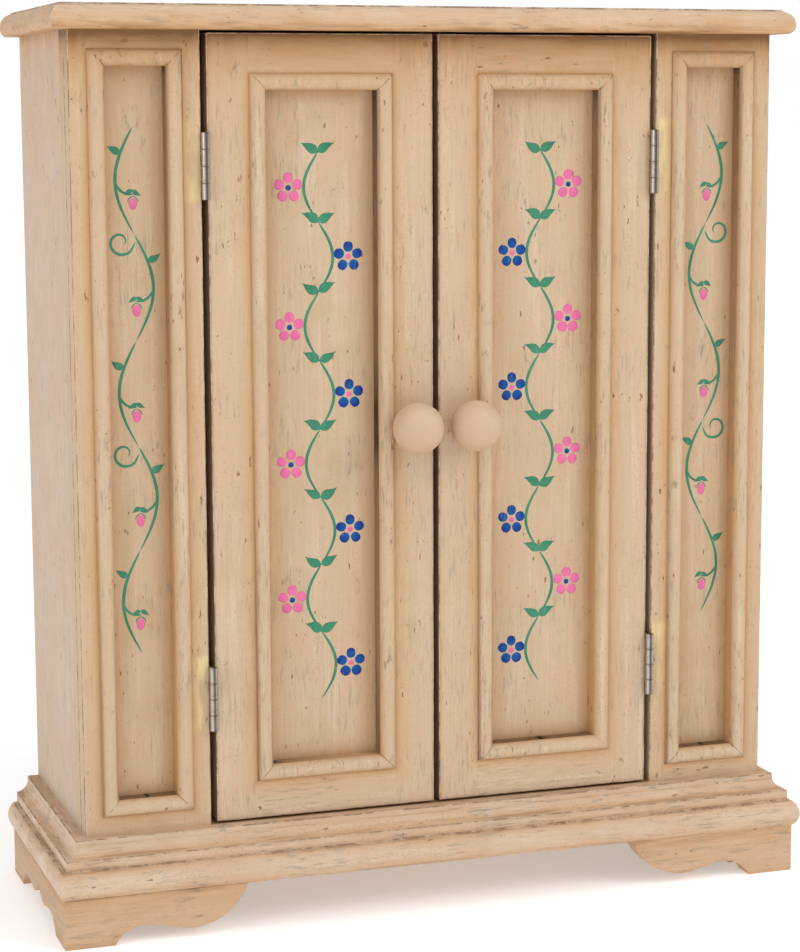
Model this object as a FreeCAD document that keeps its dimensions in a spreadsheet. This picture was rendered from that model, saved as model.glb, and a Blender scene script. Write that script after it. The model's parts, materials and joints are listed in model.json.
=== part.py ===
"""Two-door jewelry box in painted wood.

A shallow cabinet on scrolled bracket feet: two panelled doors hang on butt hinges
between two fixed panelled pilasters, under a board with a rounded edge.

Frame: +X to the right, the doors face -Y, +Z up, in millimetres. The origin is the
middle of the box's footprint, knobs included, on the surface that it stands on.
"""

import FreeCAD, Part
import os

import Sketcher

ORIGIN_VERTEX = (-1, 1)
LEFT, RIGHT = -1, 1
SIDE_NAMES = {LEFT: "left", RIGHT: "right"}

doc = FreeCAD.newDocument("JewelryBox")
sheet = doc.addObject("Spreadsheet::Sheet", "Sizes")
pieces = {}


# ---------------------------------------------------------------- driving dimensions

DIMENSIONS = [
    ("body_width", 288.0, "carcass, left side to right side"),
    ("body_depth", 98.0, "carcass, door face to back"),
    ("body_height", 307.0, "cabinet floor to underside of the top board"),
    ("side_thick", 10.0, "side panels"),
    ("back_thick", 4.0, "back panel"),
    ("floor_thick", 9.0, "floor board"),
    ("top_thick", 9.6, "top board"),
    ("top_reach", 7.8, "top board's edge beyond the carcass at its widest"),
    ("top_foot_reach", 5.6, "the same, where the edge meets the underside"),
    ("top_fillet_reach", 3.5, "the same, at the small fillet on top"),
    ("top_fillet_rise", 0.6, "height of the small fillet on top"),
    ("top_nose_rise", 3.1, "widest point of the edge above the underside"),
    ("base_height", 21.6, "base moulding"),
    ("base_fillet_reach", 4.6, "base moulding's upper fillet beyond the carcass"),
    ("base_fillet_rise", 2.4, "height of that fillet"),
    ("base_step_reach", 9.3, "base moulding's middle step beyond the carcass"),
    ("base_step_rise", 15.0, "top of the middle step above the moulding's underside"),
    ("base_bead_rise", 10.8, "height of the bullnose at the moulding's foot"),
    ("base_bead_foot_reach", 10.8, "bullnose's upper and lower edges beyond the carcass"),
    ("base_bead_reach", 13.3, "bullnose beyond the carcass at its widest"),
    ("foot_height", 19.4, "bracket feet below the base moulding"),
    ("foot_thick", 9.0, "bracket feet"),
    ("foot_length", 72.5, "front bracket, from the corner to its tip"),
    ("foot_flat", 19.5, "part of a bracket that stands on the floor"),
    ("foot_cove_end", 30.0, "end of the hollow beside the foot, from the corner"),
    ("foot_cove_rise", 6.8, "height of the hollow at that end"),
    ("foot_lobe_start", 43.0, "start of the rounded lobe, from the corner"),
    ("foot_lobe_rise", 5.0, "height of the lobe at its start"),
    ("side_notch_rise", 10.0, "height of the notch between the side's two lobes"),
    ("block_size", 14.0, "glue blocks inside the feet"),
    ("block_lift", 3.0, "glue blocks above the floor"),
    ("frame_thick", 16.0, "stiles and rails of doors and pilasters"),
    ("opening_half", 93.8, "door opening, from the middle to a pilaster"),
    ("pilaster_stile", 7.0, "width of a pilaster's stiles and rails"),
    ("door_stile", 16.5, "width of a door's stiles"),
    ("door_rail", 15.0, "width of a door's rails"),
    ("hinge_gap", 2.4, "gap between a door and its pilaster"),
    ("meeting_gap", 2.2, "gap between the two doors"),
    ("door_gap", 0.9, "gap above and below the doors"),
    ("panel_thick", 4.0, "panels of doors and pilasters"),
    ("panel_recess", 5.5, "panels behind the face of their frames"),
    ("panel_tongue", 2.5, "how far a panel enters its groove"),
    ("groove_depth", 3.0, "depth of the panel grooves"),
    ("bead_width", 6.4, "half-round moulding round each panel"),
    ("bead_proud", 2.5, "half-round moulding in front of the frames"),
    ("quirk_inset", 7.2, "groove down each pilaster's outer side, from the face"),
    ("quirk_size", 0.6, "width and depth of that groove"),
    ("hinge_length", 25.4, "butt hinges"),
    ("hinge_inset", 38.0, "hinge above the cabinet floor, and below the top board"),
    ("hinge_radius", 1.65, "outside of the hinge barrel"),
    ("hinge_clear", 0.1, "hinge barrel in front of the door face"),
    ("pin_radius", 0.8, "hinge pins"),
    ("pin_play", 0.05, "hinge pin in the door leaf's knuckles"),
    ("knuckle_play", 0.1, "between one knuckle and the next"),
    ("knuckle_clear", 0.25, "between a knuckle and the other leaf's plate"),
    ("leaf_thick", 0.8, "hinge leaves"),
    ("leaf_depth", 15.0, "hinge leaves behind the door face"),
    ("screw_inset", 12.6, "hinge screws behind the door face"),
    ("screw_end", 5.0, "hinge screws from the ends of a leaf"),
    ("screw_radius", 0.9, "shank of the hinge screws"),
    ("screw_head", 1.7, "head of the hinge screws"),
    ("screw_length", 6.0, "hinge screws in the wood"),
    ("knob_radius", 10.0, "ball of the knobs"),
    ("knob_neck", 4.4, "radius of the knobs' seat on the door"),
    ("knob_stand", 3.2, "length of the knobs' neck"),
    ("knob_inset", 12.0, "knobs from the middle of the box"),
    ("knob_height", 195.5, "knobs above the surface that the box stands on"),
    ("knob_bore", 9.0, "depth of the screw in a knob"),
    ("knob_screw", 1.9, "shank of the knob screws"),
    ("knob_hole_play", 0.3, "knob screw in the door's stile"),
    ("knob_screw_head", 4.0, "head of the knob screws"),
    ("knob_screw_tip", 2.8, "the same, at its outer face"),
    ("knob_screw_crown", 2.0, "height of that head"),
    ("shelf_height", 112.0, "shelf above the cabinet floor"),
    ("shelf_thick", 6.0, "shelf"),
    ("shelf_play", 0.5, "shelf from the side panels and the back"),
    ("shelf_setback", 6.0, "shelf behind the doors"),
    ("stud_radius", 2.5, "shelf studs"),
    ("stud_depth", 6.0, "shelf stud in a side panel"),
    ("stud_reach", 8.0, "shelf stud out of a side panel"),
    ("stud_inset", 16.0, "shelf studs from the shelf's front and back edges"),
    ("rail_half", 118.0, "half of the peg rail's length"),
    ("rail_drop", 16.0, "peg rail below the top board"),
    ("rail_wide", 14.0, "height of the peg rail"),
    ("rail_thick", 7.0, "thickness of the peg rail"),
    ("peg_radius", 1.5, "shank of the necklace pegs"),
    ("peg_ball", 2.6, "ball on the end of a peg"),
    ("peg_depth", 4.0, "peg in its rail"),
    ("peg_reach", 16.0, "peg out of its rail, to the middle of its ball"),
    ("peg_pitch", 28.0, "from one peg to the next"),
    ("pad_half", 86.0, "half of the ring pad's length"),
    ("pad_board", 3.0, "thickness of the ring pad's board"),
    ("pad_setback", 8.0, "ring pad behind the doors"),
    ("roll_radius", 6.6, "ring rolls"),
    ("roll_gap", 0.8, "between one ring roll and the next"),
    ("soft_clear", 0.3, "soft pieces from their neighbours"),
    ("catch_half", 15.0, "half of the magnetic catch's length"),
    ("catch_depth", 12.0, "magnetic catch, front to back"),
    ("catch_height", 8.0, "magnetic catch"),
    ("magnet_size", 8.0, "magnets in the catch, along X"),
    ("magnet_height", 4.0, "magnets in the catch"),
    ("plate_thick", 0.8, "strike plates on the doors"),
    ("plate_play", 0.4, "strike plates from the magnets"),
]
PEG_COUNT = 8
ROLL_COUNT = 4
KNUCKLES = 4
FRAME_KNUCKLES, DOOR_KNUCKLES = (1, 3), (0, 2)

# Where an arc bows between its two ends, as shares of the sizes beside it.
NOSE_BOW_IN, NOSE_BOW_UP = 0.13, 0.4
LIP_BOW_IN, LIP_BOW_UP = 0.065, 0.4
COVE_BOW_OUT, COVE_BOW_UP = 0.33, 0.33
FOOT_COVE_BOW_ALONG, FOOT_COVE_BOW_UP = 0.35, 0.64
FOOT_SWELL_BOW_UP = 0.7
LOBE_BOW_ALONG, LOBE_BOW_UP = 0.6, 0.06
NOTCH_BOW_UP = 0.1


class Size:
    """A length that knows both its value and the sheet's expression for it."""

    def __init__(self, value, text):
        self.value = value
        self.text = text

    def _join(self, sign, left, right):
        left, right = as_size(left), as_size(right)
        results = {
            "+": left.value + right.value,
            "-": left.value - right.value,
            "*": left.value * right.value,
        }
        return Size(results[sign], f"({left.text} {sign} {right.text})")

    def __add__(self, other):
        return self._join("+", self, other)

    def __radd__(self, other):
        return self._join("+", other, self)

    def __sub__(self, other):
        return self._join("-", self, other)

    def __rsub__(self, other):
        return self._join("-", other, self)

    def __mul__(self, other):
        return self._join("*", self, other)

    def __rmul__(self, other):
        return self._join("*", other, self)

    def __truediv__(self, other):
        return Size(self.value / other, f"({self.text} / {other})")

    def __neg__(self):
        return Size(-self.value, f"(0 - {self.text})")


def as_size(number):
    if isinstance(number, Size):
        return number
    return Size(float(number), f"({number})")


def fill_sheet():
    """Writes the dimensions to the sheet and gives them back as sizes, by name."""
    sizes = {}
    for row, (alias, value, note) in enumerate(DIMENSIONS, start=1):
        sheet.set(f"A{row}", note)
        sheet.set(f"B{row}", str(value))
        sheet.setAlias(f"B{row}", alias)
        sizes[alias] = Size(value, f"Sizes.{alias}")
    doc.recompute()
    return sizes


D = fill_sheet()

HALF = D["body_width"] / 2
KNOB_REACH = D["knob_stand"] + D["knob_radius"] * 2
FACE = (KNOB_REACH - D["body_depth"]) / 2
BACK = FACE + D["body_depth"]
FLOOR = D["foot_height"] + D["base_height"]
CEILING = FLOOR + D["body_height"]
FRAME_BACK = FACE + D["frame_thick"]
INNER_HALF = HALF - D["side_thick"]
INNER_BACK = BACK - D["back_thick"]
DOOR_EDGE = D["opening_half"] - D["hinge_gap"]
DOOR_MEET = D["meeting_gap"] / 2
DOOR_LOW = FLOOR + D["door_gap"]
DOOR_HIGH = CEILING - D["door_gap"]
BARREL_X = D["opening_half"] - D["hinge_gap"] / 2
BARREL_Y = FACE - D["hinge_radius"] - D["hinge_clear"]
HINGE_LOWS = {
    "lower": FLOOR + D["hinge_inset"],
    "upper": CEILING - D["hinge_inset"] - D["hinge_length"],
}
SHELF_TOP = FLOOR + D["shelf_height"]
SHELF_LOW = SHELF_TOP - D["shelf_thick"]
SHELF_FRONT = FRAME_BACK + D["shelf_setback"]
SHELF_BACK = INNER_BACK - D["shelf_play"]
STUD_YS = (SHELF_FRONT + D["stud_inset"], SHELF_BACK - D["stud_inset"])
STUD_Z = SHELF_LOW - D["stud_radius"]
MAGNET_DROP = D["catch_height"] / 4
MAGNET_INNER = DOOR_MEET + (D["catch_half"] - D["magnet_size"]) / 3
FOOT_FRONT = FACE - D["base_bead_foot_reach"]
OUTWARD = {LEFT: "-X", RIGHT: "+X"}


# ------------------------------------------------------------------ building blocks


def bind(target, path, size):
    """Ties one property of an object to the sheet."""
    target.setExpression(path, as_size(size).text)


def place(target, corner):
    for axis, size in zip("xyz", corner):
        bind(target, f"Placement.Base.{axis}", size)


def box(name, low, high):
    """A block between two corners."""
    block = doc.addObject("Part::Box", name)
    for side, start, stop in zip(("Length", "Width", "Height"), low, high):
        bind(block, side, stop - start)
    place(block, low)
    return block


def span(side, inner, outer):
    """Low and high X of a piece on the left or the right side."""
    if side == LEFT:
        return -as_size(outer), -as_size(inner)
    return as_size(inner), as_size(outer)


AXIS_TURNS = {
    "+X": FreeCAD.Rotation(FreeCAD.Vector(0, 1, 0), 90),
    "-X": FreeCAD.Rotation(FreeCAD.Vector(0, 1, 0), -90),
    "+Y": FreeCAD.Rotation(FreeCAD.Vector(1, 0, 0), -90),
    "-Y": FreeCAD.Rotation(FreeCAD.Vector(1, 0, 0), 90),
    "+Z": FreeCAD.Rotation(),
}


def cylinder(name, start, axis, radius, length):
    rod = doc.addObject("Part::Cylinder", name)
    bind(rod, "Radius", radius)
    bind(rod, "Height", length)
    rod.Placement.Rotation = AXIS_TURNS[axis]
    place(rod, start)
    return rod


def cone(name, start, axis, radius, tip_radius, length):
    taper = doc.addObject("Part::Cone", name)
    bind(taper, "Radius1", radius)
    bind(taper, "Radius2", tip_radius)
    bind(taper, "Height", length)
    taper.Placement.Rotation = AXIS_TURNS[axis]
    place(taper, start)
    return taper


def sphere(name, centre, radius):
    ball = doc.addObject("Part::Sphere", name)
    bind(ball, "Radius", radius)
    place(ball, centre)
    return ball


def fuse(name, shapes):
    joined = doc.addObject("Part::MultiFuse", name)
    joined.Shapes = shapes
    return joined


def cut(name, base, tools):
    """The base less one tool, or less several."""
    result = doc.addObject("Part::Cut", name)
    result.Base = base
    result.Tool = tools[0] if len(tools) == 1 else fuse(f"{name}_tools", tools)
    return result


def common(name, base, tool):
    result = doc.addObject("Part::Common", name)
    result.Base = base
    result.Tool = tool
    return result


def group(name, shapes):
    """Separate solids that share one node."""
    gathered = doc.addObject("Part::Compound", name)
    gathered.Links = shapes
    return gathered


def piece(node, shape):
    """Marks a finished shape as the sub-part called node."""
    shape.Label = node
    pieces[node] = shape
    return shape


def origin_plane(body, role):
    return next(part for part in body.Origin.OriginFeatures if part.Role == role)


def pin_down(sketch, element, vertex, point):
    """Ties a vertex of a sketch to the sheet by its two coordinates."""
    for kind, size in zip(("DistanceX", "DistanceY"), point):
        size = as_size(size)
        constraint = Sketcher.Constraint(kind, *ORIGIN_VERTEX, element, vertex, size.value)
        index = sketch.addConstraint(constraint)
        bind(sketch, f"Constraints[{index}]", size)


def flat_point(point):
    return FreeCAD.Vector(as_size(point[0]).value, as_size(point[1]).value, 0)


def start_vertex(curve, point):
    """Sketch number of the end of a curve that lies on a point."""
    return 1 if (curve.StartPoint - point).Length < (curve.EndPoint - point).Length else 2


def draw(sketch, corners):
    """Closed outline. A corner is (x, y), or (x, y, (x, y)) where the edge to the next
    corner is an arc through the second point."""
    points = [flat_point(corner) for corner in corners]
    for index, corner in enumerate(corners):
        start, stop = points[index], points[(index + 1) % len(points)]
        if len(corner) == 2:
            sketch.addGeometry(Part.LineSegment(start, stop), False)
            continue
        middle = flat_point(corner[2])
        # A sketch's arcs run anticlockwise, whichever way the outline goes.
        if (middle - start).cross(stop - middle).z < 0:
            start, stop = stop, start
        sketch.addGeometry(Part.Arc(start, middle, stop), False)
    curves = list(sketch.Geometry)
    for index, corner in enumerate(corners):
        before = (index - 1) % len(corners)
        here = start_vertex(curves[index], points[index])
        there = start_vertex(curves[before], points[index])
        sketch.addConstraint(Sketcher.Constraint("Coincident", before, there, index, here))
        pin_down(sketch, index, here, corner[:2])
        if len(corner) == 3:
            mark = sketch.addGeometry(Part.Point(flat_point(corner[2])), True)
            pin_down(sketch, mark, 1, corner[2])
            sketch.addConstraint(Sketcher.Constraint("PointOnObject", mark, 1, index))


def sketch_on(body, role, corners):
    sketch = body.newObject("Sketcher::SketchObject", f"{body.Name}_outline")
    sketch.AttachmentSupport = (origin_plane(body, role), "")
    sketch.MapMode = "FlatFace"
    draw(sketch, corners)
    return sketch


def prism(name, axis, corners, start, stop):
    """An outline run along X, Y or Z, from start to stop."""
    roles = {"X": "YZ_Plane", "Y": "XZ_Plane", "Z": "XY_Plane"}
    body = doc.addObject("PartDesign::Body", name)
    pad = body.newObject("PartDesign::Pad", f"{name}_run")
    pad.Profile = sketch_on(body, roles[axis], corners)
    bind(pad, "Length", as_size(stop) - as_size(start))
    # A sketch on the XZ plane looks towards -Y, so its pad starts at the far end.
    bind(body, f"Placement.Base.{axis.lower()}", stop if axis == "Y" else start)
    return body


# -------------------------------------------------------------------------- carcass


def side_panel(side):
    """Side of the carcass, bored for the studs that hold the shelf."""
    node = f"{SIDE_NAMES[side]}_side_panel"
    low_x, high_x = span(side, INNER_HALF, HALF)
    board = box(f"{node}_board", (low_x, FRAME_BACK, FLOOR), (high_x, BACK, CEILING))
    bores = [
        cylinder(f"{node}_bore{number}", (side * INNER_HALF, y, STUD_Z), OUTWARD[side],
                 D["stud_radius"], D["stud_depth"])
        for number, y in enumerate(STUD_YS)
    ]
    piece(node, cut(node, board, bores))


def top_board():
    """Board with a rounded edge: where its front and side sections meet, they mitre."""
    high = CEILING + D["top_thick"]
    nose = CEILING + D["top_nose_rise"]
    shoulder = high - D["top_fillet_rise"]
    nose_low = CEILING + D["top_nose_rise"] * LIP_BOW_UP
    nose_mid = nose + D["top_thick"] * NOSE_BOW_UP

    def edge(reach_line, direction):
        """Lower and upper arcs of the edge, outward from a line, from bottom to top."""
        foot = reach_line + direction * D["top_foot_reach"]
        low = reach_line + direction * D["top_reach"] * (1 - LIP_BOW_IN)
        wide = reach_line + direction * D["top_reach"]
        bow = reach_line + direction * D["top_reach"] * (1 - NOSE_BOW_IN)
        step = reach_line + direction * D["top_fillet_reach"]
        return foot, low, wide, bow, step

    foot, low, wide, bow, step = edge(FACE, -1)
    front_section = [
        (BACK, CEILING),
        (BACK, high),
        (step, high),
        (step, shoulder, (bow, nose_mid)),
        (wide, nose, (low, nose_low)),
        (foot, CEILING),
    ]
    run = HALF + D["top_reach"]
    front = prism("top_front_section", "X", front_section, -run, run)
    corners = []
    for side in (LEFT, RIGHT):
        foot, low, wide, bow, step = edge(side * HALF, side)
        up = [
            (foot, CEILING, (low, nose_low)),
            (wide, nose, (bow, nose_mid)),
            (step, shoulder),
            (step, high),
        ]
        if side == LEFT:
            corners += up
        else:
            down = [
                (step, high),
                (step, shoulder, (bow, nose_mid)),
                (wide, nose, (low, nose_low)),
                (foot, CEILING),
            ]
            corners += down
    sides = prism("top_side_section", "Y", corners, FACE - D["top_reach"], BACK)
    piece("top_board", common("top_board", front, sides))


def peg_rail():
    """Rail along the back with turned pegs for necklaces."""
    high = CEILING - D["rail_drop"]
    low = high - D["rail_wide"]
    front = INNER_BACK - D["rail_thick"]
    board = box("peg_rail_board", (-D["rail_half"], front, low), (D["rail_half"], INNER_BACK, high))
    bores, pegs = [], []
    for number in range(PEG_COUNT):
        x = D["peg_pitch"] * (number - (PEG_COUNT - 1) / 2)
        z = low + D["rail_wide"] / 2
        start = (x, front + D["peg_depth"], z)
        bores.append(cylinder(f"peg_bore{number}", start, "-Y", D["peg_radius"], D["peg_depth"]))
        shank = cylinder(f"peg_shank{number}", start, "-Y", D["peg_radius"],
                         D["peg_depth"] + D["peg_reach"])
        ball = sphere(f"peg_ball{number}", (x, front - D["peg_reach"], z), D["peg_ball"])
        pegs.append(fuse(f"peg{number}", [shank, ball]))
    piece("necklace_peg_rail", cut("necklace_peg_rail", board, bores))
    piece("necklace_pegs", group("necklace_pegs", pegs))


def shelf_and_studs():
    half = INNER_HALF - D["shelf_play"]
    low = (-half, SHELF_FRONT, SHELF_LOW)
    piece("shelf", box("shelf", low, (half, SHELF_BACK, SHELF_TOP)))
    studs = []
    for side in (LEFT, RIGHT):
        for number, y in enumerate(STUD_YS):
            start = (side * (INNER_HALF + D["stud_depth"]), y, STUD_Z)
            studs.append(cylinder(f"{SIDE_NAMES[side]}_stud{number}", start, OUTWARD[-side],
                                  D["stud_radius"], D["stud_depth"] + D["stud_reach"]))
    piece("shelf_studs", group("shelf_studs", studs))


def ring_pad():
    """Flat board with soft rolls side by side: rings are pushed between the rolls."""
    front = FRAME_BACK + D["pad_setback"]
    pitch = D["roll_radius"] * 2 + D["roll_gap"]
    back = front + pitch * ROLL_COUNT
    board_top = FLOOR + D["pad_board"]
    low = (-D["pad_half"], front, FLOOR)
    piece("ring_pad_board", box("ring_pad_board", low, (D["pad_half"], back, board_top)))
    rolls = []
    length = (D["pad_half"] - D["soft_clear"]) * 2
    for number in range(ROLL_COUNT):
        y = front + pitch * (number + 0.5)
        z = board_top + D["soft_clear"] + D["roll_radius"]
        start = (D["soft_clear"] - D["pad_half"], y, z)
        rolls.append(cylinder(f"ring_roll{number}", start, "+X", D["roll_radius"], length))
    piece("ring_rolls", group("ring_rolls", rolls))


def magnetic_catch():
    """Housing under the top board, bored for two magnets that hold the doors shut."""
    front = FRAME_BACK + D["plate_thick"] + D["plate_play"]
    low_z = CEILING - D["catch_height"]
    back = front + D["catch_depth"]
    block = box("catch_block", (-D["catch_half"], front, low_z), (D["catch_half"], back, CEILING))
    pockets, magnets = [], []
    for side in (LEFT, RIGHT):
        low_x, high_x = span(side, MAGNET_INNER, MAGNET_INNER + D["magnet_size"])
        low = (low_x, front, CEILING - D["magnet_height"] - MAGNET_DROP)
        high = (high_x, front + D["catch_depth"] / 2, CEILING - MAGNET_DROP)
        pockets.append(box(f"{SIDE_NAMES[side]}_magnet_pocket", low, high))
        magnets.append(box(f"{SIDE_NAMES[side]}_magnet", low, high))
    piece("catch_housing", cut("catch_housing", block, pockets))
    piece("catch_magnets", group("catch_magnets", magnets))


# --------------------------------------------------------------- base and bracket feet


def base_corners(line, direction, bottom):
    """Section of the base moulding, outward from a line, from bottom to top."""

    def reach(size):
        return line + direction * size

    bead_top = bottom + D["base_bead_rise"]
    step_top = bottom + D["base_step_rise"]
    top = bottom + D["base_height"]
    fillet = top - D["base_fillet_rise"]
    cove_reach = D["base_step_reach"] - D["base_fillet_reach"]
    widest = (reach(D["base_bead_reach"]), bottom + D["base_bead_rise"] / 2)
    hollow = (
        reach(D["base_fillet_reach"] + cove_reach * COVE_BOW_OUT),
        step_top + (fillet - step_top) * COVE_BOW_UP,
    )
    return [
        (line, bottom),
        (reach(D["base_bead_foot_reach"]), bottom, widest),
        (reach(D["base_bead_foot_reach"]), bead_top),
        (reach(D["base_step_reach"]), bead_top),
        (reach(D["base_step_reach"]), step_top, hollow),
        (reach(D["base_fillet_reach"]), fillet),
        (reach(D["base_fillet_reach"]), top),
        (line, top),
    ]


def base_mouldings():
    """Three lengths of moulding, mitred at the front corners."""
    bottom = D["foot_height"]
    far = D["base_bead_reach"] + D["base_bead_foot_reach"]
    front_run = prism("base_front_run", "X", base_corners(FACE, -1, bottom), -HALF - far, HALF + far)
    front_plan = [
        (-HALF - far, FACE - far),
        (HALF + far, FACE - far),
        (HALF, FACE),
        (-HALF, FACE),
    ]
    front_block = prism("base_front_plan", "Z", front_plan, bottom, FLOOR)
    piece("front_base_moulding", common("front_base_moulding", front_run, front_block))
    for side in (LEFT, RIGHT):
        node = f"{SIDE_NAMES[side]}_base_moulding"
        line = side * HALF
        section = base_corners(line, side, bottom)
        run = prism(f"{node}_run", "Y", section, FACE - far, BACK)
        plan = [
            (line, FACE),
            (line + side * far, FACE - far),
            (line + side * far, BACK),
            (line, BACK),
        ]
        block = prism(f"{node}_plan", "Z", plan, bottom, FLOOR)
        piece(node, common(node, run, block))
    rail_front = BACK - D["foot_thick"]
    low = (-HALF, rail_front, bottom)
    piece("back_base_rail", box("back_base_rail", low, (HALF, BACK, FLOOR - D["floor_thick"])))


def scroll(corner, direction):
    """Lower edge of a bracket from its corner to the start of its lobe."""

    def along(size):
        return corner + direction * size

    cove_length = D["foot_cove_end"] - D["foot_flat"]
    cove_through = (
        along(D["foot_flat"] + cove_length * FOOT_COVE_BOW_ALONG),
        D["foot_cove_rise"] * FOOT_COVE_BOW_UP,
    )
    fall = D["foot_cove_rise"] - D["foot_lobe_rise"]
    swell_through = (
        along((D["foot_cove_end"] + D["foot_lobe_start"]) / 2),
        D["foot_lobe_rise"] + fall * FOOT_SWELL_BOW_UP,
    )
    return [
        (corner, as_size(0)),
        (along(D["foot_flat"]), as_size(0), cove_through),
        (along(D["foot_cove_end"]), D["foot_cove_rise"], swell_through),
    ]


def front_bracket(side):
    """Scrolled board under one end of the front moulding, mitred to the side apron."""
    node = f"{SIDE_NAMES[side]}_front_foot"
    corner = side * (HALF + D["base_bead_foot_reach"])
    inward = -side
    tip = corner + inward * D["foot_length"]
    lobe_start = corner + inward * D["foot_lobe_start"]
    through = (
        lobe_start + (tip - lobe_start) * LOBE_BOW_ALONG,
        D["foot_lobe_rise"] + D["foot_height"] * LOBE_BOW_UP,
    )
    outline = scroll(corner, inward) + [
        (lobe_start, D["foot_lobe_rise"], through),
        (tip, D["foot_height"]),
        (corner, D["foot_height"]),
    ]
    back = FOOT_FRONT + D["foot_thick"]
    board = prism(f"{node}_board", "Y", outline, FOOT_FRONT, back)
    plan = [
        (corner, FOOT_FRONT),
        (corner + inward * D["foot_thick"], back),
        (tip, back),
        (tip, FOOT_FRONT),
    ]
    mitre = prism(f"{node}_mitre", "Z", plan, as_size(0), D["foot_height"])
    piece(node, common(node, board, mitre))


def side_apron(side):
    """Board under a side moulding with a scrolled foot at each end."""
    node = f"{SIDE_NAMES[side]}_side_feet"
    middle = (FOOT_FRONT + BACK) / 2
    notch = (middle, D["side_notch_rise"])
    outline = scroll(FOOT_FRONT, 1)
    lobe_front = FOOT_FRONT + D["foot_lobe_start"]
    lobe_back = BACK - D["foot_lobe_start"]
    lobe_low = D["foot_lobe_rise"] + D["side_notch_rise"] * NOTCH_BOW_UP
    outline.append((lobe_front, D["foot_lobe_rise"], ((lobe_front + middle) / 2, lobe_low)))
    outline.append(notch + (((lobe_back + middle) / 2, lobe_low),))
    near, cove, swell = scroll(BACK, -1)
    outline.append((lobe_back, D["foot_lobe_rise"], swell[2]))
    outline.append((swell[0], swell[1], cove[2]))
    outline.append(cove[:2])
    outline.append(near)
    outline += [(BACK, D["foot_height"]), (FOOT_FRONT, D["foot_height"])]
    outer = HALF + D["base_bead_foot_reach"]
    inner = outer - D["foot_thick"]
    board = prism(f"{node}_board", "X", outline, *span(side, inner, outer))
    plan = [
        (side * outer, FOOT_FRONT),
        (side * outer, BACK),
        (side * inner, BACK),
        (side * inner, FOOT_FRONT + D["foot_thick"]),
    ]
    mitre = prism(f"{node}_mitre", "Z", plan, as_size(0), D["foot_height"])
    piece(node, common(node, board, mitre))


def corner_blocks():
    """Glue blocks that hold the mitred feet and carry the floor board."""
    inset = D["base_bead_foot_reach"] - D["foot_thick"]
    blocks = []
    for side in (LEFT, RIGHT):
        for end in ("front", "back"):
            if end == "front":
                low_y, upper_low_y = FACE - inset, FACE
                high_y = FACE + D["block_size"]
            else:
                high_y = BACK - D["foot_thick"]
                low_y = upper_low_y = high_y - D["block_size"]
            name = f"{SIDE_NAMES[side]}_{end}_block"
            low_x, high_x = span(side, HALF - D["block_size"], HALF + inset)
            foot = box(f"{name}_foot", (low_x, low_y, D["block_lift"]),
                       (high_x, high_y, D["foot_height"]))
            low_x, high_x = span(side, HALF - D["block_size"], HALF)
            post = box(f"{name}_post", (low_x, upper_low_y, D["foot_height"]),
                       (high_x, high_y, FLOOR - D["floor_thick"]))
            blocks.append(fuse(name, [foot, post]))
    piece("corner_blocks", group("corner_blocks", blocks))


# ------------------------------------------------------------------- panelled frames


def framed_panel(prefix, side, inner, outer, low, high, stiles, rail, bores):
    """Two stiles, two rails, a panel in their grooves and a mitred half-round round it.

    stiles holds the name and width of the stile nearer the middle, then of the other.
    bores maps a stile's name to the shapes that are cut out of it.
    """
    (near_name, near_width), (far_name, far_width) = stiles
    near_edge = inner + near_width
    far_edge = outer - far_width
    groove_y = FACE + D["panel_recess"]
    groove_back = groove_y + D["panel_thick"]
    deep = D["groove_depth"]
    grooves = {
        near_name: (near_edge - deep, near_edge, low, high),
        far_name: (far_edge, far_edge + deep, low, high),
        "bottom_rail": (near_edge, far_edge, low + rail - deep, low + rail),
        "top_rail": (near_edge, far_edge, high - rail, high - rail + deep),
    }
    members = {
        near_name: (inner, near_edge, low, high),
        far_name: (far_edge, outer, low, high),
        "bottom_rail": (near_edge, far_edge, low, low + rail),
        "top_rail": (near_edge, far_edge, high - rail, high),
    }
    for name, (x_in, x_out, z_low, z_high) in members.items():
        node = f"{prefix}_{name}"
        low_x, high_x = span(side, x_in, x_out)
        wood = box(f"{node}_wood", (low_x, FACE, z_low), (high_x, FRAME_BACK, z_high))
        x_in, x_out, z_low, z_high = grooves[name]
        low_x, high_x = span(side, x_in, x_out)
        groove = box(f"{node}_groove", (low_x, groove_y, z_low), (high_x, groove_back, z_high))
        piece(node, cut(node, wood, [groove] + bores.get(name, [])))
    tongue = D["panel_tongue"]
    low_x, high_x = span(side, near_edge - tongue, far_edge + tongue)
    panel_low = (low_x, groove_y, low + rail - tongue)
    panel_high = (high_x, groove_back, high - rail + tongue)
    piece(f"{prefix}_panel", box(f"{prefix}_panel", panel_low, panel_high))
    low_x, high_x = span(side, near_edge, far_edge)
    bead_frame(f"{prefix}_moulding", low_x, high_x, low + rail, high - rail)


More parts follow.
